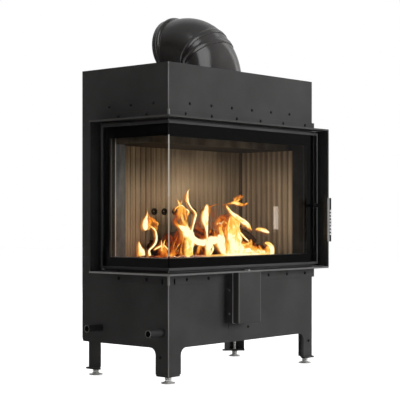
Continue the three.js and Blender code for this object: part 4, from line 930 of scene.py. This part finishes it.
    (-6, 0.85, [(236.4, 238, 2.6, 0.9), (234, 232, 2.2, 0.85), (232.4, 226, 2, 0.85), (232, 220, 2.2, 0.9)]),
    (-4, 0.7, [(233, 238, 1.4, 0.4), (235.4, 231, 1.4, 0.4), (234.6, 225.6, 1, 0.4)]),
    # The low peaks on the right and the curl at their end
    (-6, 1, [(248.6, 252, 6, 0.8), (249.6, 246.6, 4.6, 0.62), (250.4, 242.6, 2.8, 0.56),
        (250.2, 239, 1, 0.5)]),
    (-6, 0.95, [(254, 252, 6, 0.6), (254.8, 247.6, 4.4, 0.45), (254.6, 244.6, 2, 0.36),
        (254, 242.6, 0.8, 0.3)]),
    (-6, 0.95, [(260, 252, 6, 0.7), (259.4, 247.6, 4, 0.5), (258.2, 245, 1.6, 0.42)]),
    (-5, 0.95, [(266.4, 254, 7, 0.62), (266, 249.4, 6, 0.5), (264.6, 246.6, 3, 0.4)]),
    (-9, 1, [(271, 256.4, 4, 0.9), (271.4, 252, 5, 0.95), (270.8, 248.2, 5.4, 0.98), (269, 245, 4.8, 0.95),
        (266.4, 243.2, 3.2, 0.88), (263.8, 242.8, 1.2, 0.66)]),
    (-7, 0.9, [(267, 254.6, 5, 0.74), (267.6, 250, 5.4, 0.68), (266.6, 246.6, 4, 0.7)]),
    (-30, 0.6, [(196, 257.4, 1, 0.5), (205, 256.6, 1.6, 0.6), (214, 255.8, 2.4, 0.8), (224, 255, 3.4, 0.95),
        (236, 254.4, 3.4, 1), (248, 254, 3.2, 0.95), (260, 253.6, 2.6, 0.9), (270, 253.4, 1, 0.8)]),
    # The band that falls to the right
    (-8, 1, [(225.8, 205.2, 1.4, 0.6), (227.2, 208, 2.3, 0.78), (229.5, 211.3, 2.8, 0.87),
        (232.4, 214.4, 3.6, 0.92), (235.5, 216.6, 4.8, 0.96), (238.8, 219.3, 5, 0.93),
        (242.5, 221.6, 5.2, 1), (245.6, 223.5, 4.8, 1), (248.3, 226.3, 3.3, 0.82), (250.4, 229.2, 1.7, 0.58),
        (251.8, 230.8, 0.5, 0.3)]),
    (-2, 0.8, [(229.4, 213, 2, 0.45), (229, 217, 2.4, 0.4), (230.6, 221, 3, 0.5)]),
    # The loose flame above it
    (-6, 1, [(221.3, 205.4, 0.4, 0.4), (225, 204.5, 1.2, 0.5), (229, 203.7, 1.9, 0.6),
        (232.5, 202.8, 2.5, 0.77), (236, 203.2, 3.4, 0.86), (239.5, 204.3, 3.4, 0.66),
        (243, 204.8, 2.4, 0.6), (245.8, 203.8, 1.6, 0.75), (248, 202.3, 0.5, 0.6)]),
    (-4, 0.95, [(233.6, 203.2, 2.4, 0.75), (235.4, 200.2, 4.4, 0.66), (238, 198.4, 4.8, 0.58),
        (240.8, 197.2, 3.4, 0.52), (243.4, 195.3, 1, 0.42)]),
    (-4, 0.9, [(237, 199.6, 2.6, 0.7), (239, 196.6, 1.8, 0.55), (240.4, 194.6, 0.6, 0.4)]),
    (-4, 0.9, [(234.6, 201.4, 1.2, 0.55), (233.8, 199.2, 0.9, 0.5), (233.7, 197, 0.35, 0.4)]),
    # The loose leaf on the right
    (-24, 1, [(254.7, 229.7, 0.9, 0.6), (257, 229.2, 2.5, 0.82), (260.5, 229.4, 3.6, 0.87),
        (264.2, 230.6, 3.8, 0.96), (267, 231.9, 2.9, 0.96), (269, 232.7, 0.9, 0.8)]),
]
SHEET_POINTS = 9


def traced(points, depth):
    """A traced line put in the fire's plane, as (x, z, half width, heat) in mm."""
    plane_y = PLANE_Y + depth
    line = []
    for i, (u, v, width, heat) in enumerate(points):
        before, after = points[max(0, i - 1)], points[min(len(points) - 1, i + 1)]
        run = math.dist(before[:2], after[:2])
        across = (after[1] - before[1]) / run / PLANE_FACING, (after[0] - before[0]) / run
        q = (u - PHOTO_MIDDLE[0]) / PHOTO_SCALE
        x = q * (CORNER_AHEAD + ASIDE * plane_y) - CORNER_ASIDE + AHEAD * plane_y
        x /= ASIDE + AHEAD * FIRE_SLANT - q * (AHEAD - ASIDE * FIRE_SLANT)
        pixel = (CORNER_AHEAD + AHEAD * x + ASIDE * (plane_y - x * FIRE_SLANT)) / PHOTO_SCALE
        z = CAMERA[2] - (v - PHOTO_MIDDLE[1]) * pixel
        line.append((x, z, width / 2 * pixel * math.hypot(*across), heat))
    return line


def between(t, p, q, r, s):
    """A number on a smooth curve from q to r, with p before them and s after them."""
    return q + 0.5 * t * (r - p + t * (2 * p - 5 * q + 4 * r - s + t * (3 * (q - r) + s - p)))


def spline(points, steps):
    """A smooth curve through lists of numbers."""
    ends = [points[0]] + points + [points[-1]]
    curve = []
    for i in range(len(points) - 1):
        for k in range(steps):
            curve.append(tuple(between(k / steps, *four) for four in zip(*ends[i:i + 4])))
    return curve + [tuple(points[-1])]


def ribbon(depth, cover, points, seed, sideways=False):
    """A flame's sheet along its line, and the values of its points for the flame material."""
    rows = spline(points, 5)
    verts, values = [], []
    along = 0.0
    for i, (x, z, half, heat) in enumerate(rows):
        before, after = rows[max(0, i - 1)], rows[min(len(rows) - 1, i + 1)]
        run = math.dist(before[:2], after[:2]) or 1
        nx, nz = -(after[1] - before[1]) / run, (after[0] - before[0]) / run
        along += math.dist(rows[max(0, i - 1)][:2], (x, z))
        y = PLANE_Y + depth - x * FIRE_SLANT
        fade = min(1, 0.4 + 0.3 * i, 0.3 + 0.35 * (len(rows) - 1 - i))
        for k in range(SHEET_POINTS):
            t = 2 * k / (SHEET_POINTS - 1) - 1
            width = max(0.3, half) * (1 + 0.3 * noise.noise((x * 0.06 + seed, z * 0.06, t * 1.5)))
            out = t * width
            if sideways:
                verts.append(at(x + AHEAD * out, y + ASIDE * out, z))
            else:
                swell = 0.5 * width * (1 - t * t)
                slanted = nx * out * FIRE_SLANT
                verts.append(at(x + nx * out - swell * FIRE_SLANT, y - slanted - swell, z + nz * out))
            values.append((1 - abs(t), heat, cover * fade, (out * 0.065, along * 0.03, seed * 3.7)))
    faces = []
    for i in range(len(rows) - 1):
        for k in range(SHEET_POINTS - 1):
            a = i * SHEET_POINTS + k
            faces.append((a, a + 1, a + SHEET_POINTS + 1, a + SHEET_POINTS))
    return (verts, faces), values


def flames():
    """Each flame is a sheet across the view. Thin ones glow behind, wide ones have a sheet along the view."""
    sheets = []
    for seed, (depth, cover, trace) in enumerate(FLAMES):
        points = traced(trace, depth)
        widest = max(half for _, _, half, _ in points)
        sheets.append(ribbon(depth, cover, [(x, z, half * 1.15, heat) for x, z, half, heat in points], seed))
        if cover > 0.7 and widest < 24:
            glow = [(x, z - 2, 2.5 + half * 1.3, heat * 0.5) for x, z, half, heat in points]
            sheets.append(ribbon(depth + 7, cover * 0.42, glow, seed + 0.5))
        if widest > 5:
            sheets.append(ribbon(depth, cover, points, seed, sideways=True))
    meshes, values = zip(*sheets)
    piece = make("flames", joined(meshes), flame(), "casing", smooth=60, closed=False)
    edge, heat, cover, sheet = zip(*(value for more in values for value in more))
    for name, numbers in (("edge", edge), ("glow", heat), ("cover", cover)):
        piece.data.attributes.new(name, "FLOAT", "POINT").data.foreach_set("value", numbers)
    numbers = [number for place in sheet for number in place]
    piece.data.attributes.new("sheet", "FLOAT_VECTOR", "POINT").data.foreach_set("vector", numbers)


flames()

# Logs, air spigot, nozzles and embers


def fire_log(name, start, end, radius, seed, lean=0.0):
    """A split log: a lumpy, slightly bent stem with raised bark ridges and broken ends."""
    a, b = Vector(start), Vector(end)
    axis = (b - a).normalized()
    side = axis.cross(Vector((0, 0, 1))).normalized()
    up = side.cross(axis)
    rings, around = 26, 30
    verts, faces = [], []
    for i in range(rings):
        t = i / (rings - 1)
        centre = a.lerp(b, t) + up * (lean * math.sin(math.pi * t)) + side * (4 * math.sin(5 * t + seed))
        end_pull = 1 - 0.12 * max(0, 1 - 8 * min(t, 1 - t))
        for k in range(around):
            angle = 2 * math.pi * k / around
            c, s = math.cos(angle), math.sin(angle)
            split = 0.86 if math.cos(angle - 1.1 - seed) > 0.55 else 1.0
            ridge = noise.noise((c * 2.6 + seed, s * 2.6, t * 5))
            lump = noise.noise((c * 7, s * 7 + seed, t * 14))
            r = radius * end_pull * split * (1 + 0.13 * ridge + 0.06 * lump)
            ragged = 5 * noise.noise((c * 3, s * 3, seed + i)) if i in (0, rings - 1) else 0.0
            verts.append(centre + side * (r * c) + up * (r * s) + axis * ragged)
    for i in range(rings - 1):
        for k in range(around):
            j = (k + 1) % around
            faces.append((i * around + k, i * around + j, (i + 1) * around + j, (i + 1) * around + k))
    for i, point in ((0, a - axis * 3), (rings - 1, b + axis * 3)):
        verts.append(point)
        for k in range(around):
            faces.append((i * around + k, i * around + (k + 1) % around, len(verts) - 1))
    make(name, ([at(*v) for v in verts], faces), LOG, "casing", smooth=50)


LOG = log_wood()
fire_log("log_left", (190, 205, 440), (520, 150, 444), 31, 0.3, 6)
fire_log("log_back", (200, 272, 444), (560, 240, 440), 30, 1.7)
fire_log("log_upper", (262, 246, 476), (446, 200, 490), 22, 2.6, 2)
fire_log("log_leaning", (470, 150, 524), (598, 128, 460), 19, 3.9, 3)
fire_log("log_right", (480, 150, 430), (655, 122, 428), 22, 5.2)


def smooth_air_spigot():
    low, high, middle = box("air_spigot")
    length = high.y - low.y
    profile = [
        (48, 0.4), (48.6, 0), (49.4, 0), (50, 0.8), (50, length - 0.4), (49.6, length), (48.4, length),
        (48, length - 0.4), (48, 0.4),
    ]
    mesh_data = turned(profile, 72, (middle.x, low.y, middle.z), (0, 1, 0))
    piece = make("air_spigot_tube", mesh_data, finish["casing_paint"], "casing")
    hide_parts("air_spigot")


smooth_air_spigot()


def nozzle_cores():
    """The small pale cone inside each air nozzle."""
    count = 6
    low, high, middle = box("air_duct")
    pitch = (high.x - low.x) / (count + 1)
    y = box("lining_back")[0].y + 5
    profile = [(0, 5.5), (2.2, 5.0), (3.8, 1.0), (4.2, 0.2), (0, 0.2)]
    cones = [turned(profile, 14, (low.x + pitch * (k + 1), y, middle.z), (0, -1, 0)) for k in range(count)]
    make("nozzle_cores", joined(cones), finish["lining"], "casing", smooth=40)


nozzle_cores()


def embers():
    """A low mound on the hearth: a grid of points on the floor and one above it, closed round the rim."""
    columns, rows = 72, 34
    (x0, x1), (y0, y1) = (60, 690), (70, 320)
    floor = box("hearth_slab")[1].z + 0.4

    def height(x, y, u, v):
        rim = min(1, 5 * min(u, 1 - u), 4 * min(v, 1 - v))
        mound = 6 * math.sin(math.pi * u) * math.sin(math.pi * v)
        lumps = 7 * noise.noise((x * 0.05, y * 0.05, 0)) + 4 * noise.noise((x * 0.13, y * 0.13, 5))
        return max(0.6, rim * (mound + lumps + 6))

    def index(level, i, j):
        return (level * rows + j) * columns + i

    verts, faces = [], []
    for level in range(2):
        for j in range(rows):
            for i in range(columns):
                u, v = i / (columns - 1), j / (rows - 1)
                x, y = x0 + (x1 - x0) * u, y0 + (y1 - y0) * v
                verts.append(at(x, y, floor + level * height(x, y, u, v)))
        for j in range(rows - 1):
            for i in range(columns - 1):
                square = ((i, j), (i + 1, j), (i + 1, j + 1), (i, j + 1))
                faces.append(tuple(index(level, *place) for place in square))
    rim = [(i, 0) for i in range(columns)] + [(columns - 1, j) for j in range(1, rows)]
    rim += [(i, rows - 1) for i in range(columns - 2, -1, -1)] + [(0, j) for j in range(rows - 2, 0, -1)]
    for a, b in zip(rim, rim[1:] + rim[:1]):
        faces.append((index(0, *a), index(0, *b), index(1, *b), index(1, *a)))
    make("embers", (verts, faces), ember_bed(), "casing", smooth=60)


embers()

# Camera and lamps


def put_in_scene(name, data, place):
    thing = bpy.data.objects.new(name, data)
    bpy.context.scene.collection.objects.link(thing)
    thing.location = at(*place)
    return thing


def look(thing, target):
    thing.rotation_mode = "QUATERNION"
    thing.rotation_quaternion = (target - thing.location).to_track_quat("-Z", "Y")


def lamp(kind, name, place, power, colour):
    data = bpy.data.lights.new(name, kind)
    data.energy = power
    data.color = colour
    return put_in_scene(name, data, place)


def area(name, place, target, width, height, power, colour=(1, 1, 1), reflected=False):
    """A soft light, or a card that only shows in reflections. Its width and height are in metres."""
    thing = lamp("AREA", name, place, power, colour)
    thing.data.shape = "RECTANGLE"
    thing.data.size, thing.data.size_y = width, height
    look(thing, at(*target))
    thing.visible_glossy = thing.visible_transmission = reflected
    thing.visible_diffuse = not reflected


def firelight(name, place, power):
    thing = lamp("POINT", name, place, power, (1, 0.88, 0.70))
    thing.data.shadow_soft_size = 0.06
    thing.visible_camera = thing.visible_glossy = thing.visible_transmission = False


camera = put_in_scene("camera", bpy.data.cameras.new("camera"), CAMERA)
camera.data.sensor_width = SENSOR
camera.data.lens = PHOTO_SCALE * SENSOR / PHOTO_SIZE
camera.data.shift_y = (PHOTO_MIDDLE[1] - PHOTO_SIZE / 2) / PHOTO_SIZE
camera.data.clip_start, camera.data.clip_end = 0.1, 60
look(camera, camera.location + Vector((AHEAD, ASIDE, 0)))
bpy.context.scene.camera = camera

area("key", (2700, -5200, 1250), (400, 100, 600), 3.6, 3.0, 266)
area("fill_left", (-3600, 300, 260), (0, 200, 300), 2.4, 2.4, 11.4, (1, 0.85, 0.76))
area("top", (300, 600, 4200), (400, 200, 600), 3.0, 3.0, 17)
area("rear", (900, 4600, 1500), (400, 415, 600), 3.6, 3.0, 94)
area("left_card", (-3066, -336, 3000), (400, 151, 1100), 3.0, 3.6, 90, reflected=True)
area("window_card", (4000, -2690, 552), (546, -20, 553), 0.034, 0.165, 0.055, (1, 0.88, 0.76), reflected=True)
firelight("fire_left", (250, 75, 560), 2.3)
firelight("fire_right", (480, 60, 560), 1.1)

# World: white behind the object, plain light from all round, and little of it in reflections

world = bpy.data.worlds.new("studio")
bpy.context.scene.world = world
sky = Graph(world, "OutputWorld")
direction = sky.add("TexCoord").outputs["Generated"]
DIM = 0.008


def along(way):
    """How far a ray runs along a direction."""
    return sky.add("VectorMath", direction, way, operation="DOT_PRODUCT").outputs["Value"]


def upright_band():
    """A tall bright band: rays that run forwards and keep close to an upright plane."""
    off_plane = sky.math("ABSOLUTE", along((0.292, 0.956, 0)))
    forwards = sky.range(along((0.956, -0.292, 0)), 0.35, 0.55, 0, 1.7)
    return sky.times(sky.range(off_plane, 0.11, 0.19, 1, 0), forwards)


# The walls and the ceiling of the room: a direction, where its light begins and is full, and its brightness.
room = upright_band()
for way, begins, full, bright in (
    ((0.75, 0.66, 0), 0.25, 0.45, 0.6), ((-0.43, -0.9, 0), 0.8, 0.97, 0.5),
    ((0.75, -0.66, 0), 0.7, 0.95, 0.07), ((0, 0, 1), 0.15, 0.7, 0.35),
):
    room = sky.math("MAXIMUM", room, sky.range(along(way), begins, full, DIM, bright))
seen = sky.glow("Background", room)
reflected = sky.by_ray("Is Glossy Ray", sky.glow("Background", 0.086), seen)
around = sky.by_ray("Is Transmission Ray", reflected, seen)
sky.put(sky.out, sky.by_ray("Is Camera Ray", around, sky.glow("Background", 1)))
bpy.context.scene.view_settings.view_transform = "Standard"

# Floor: lifted to white for the camera, with its soft shadow, and dim in reflections

FLOOR_HALF = 14
ground = Net("pale_floor", Roughness=0.9, Specular_IOR_Level=0.1)
ground.set("Base Color", ground.mix(ground.noise(2, 3), (0.93, 0.93, 0.93), (0.95, 0.95, 0.95)))
lift = ground.by_ray("Is Camera Ray", ground.glow("Emission", 0), ground.glow("Emission", 0.9))
lit = ground.add("AddShader", ground.bsdf.outputs[0], lift).outputs[0]
ground.put(ground.out, ground.by_ray("Is Glossy Ray", lit, ground.glow("Emission", 0.05)))
floor_corners = [(x * FLOOR_HALF, y * FLOOR_HALF, 0) for x, y in ((-1, -1), (1, -1), (1, 1), (-1, 1))]
make("floor", (floor_corners, [(0, 1, 2, 3)]), ground.mat, None)
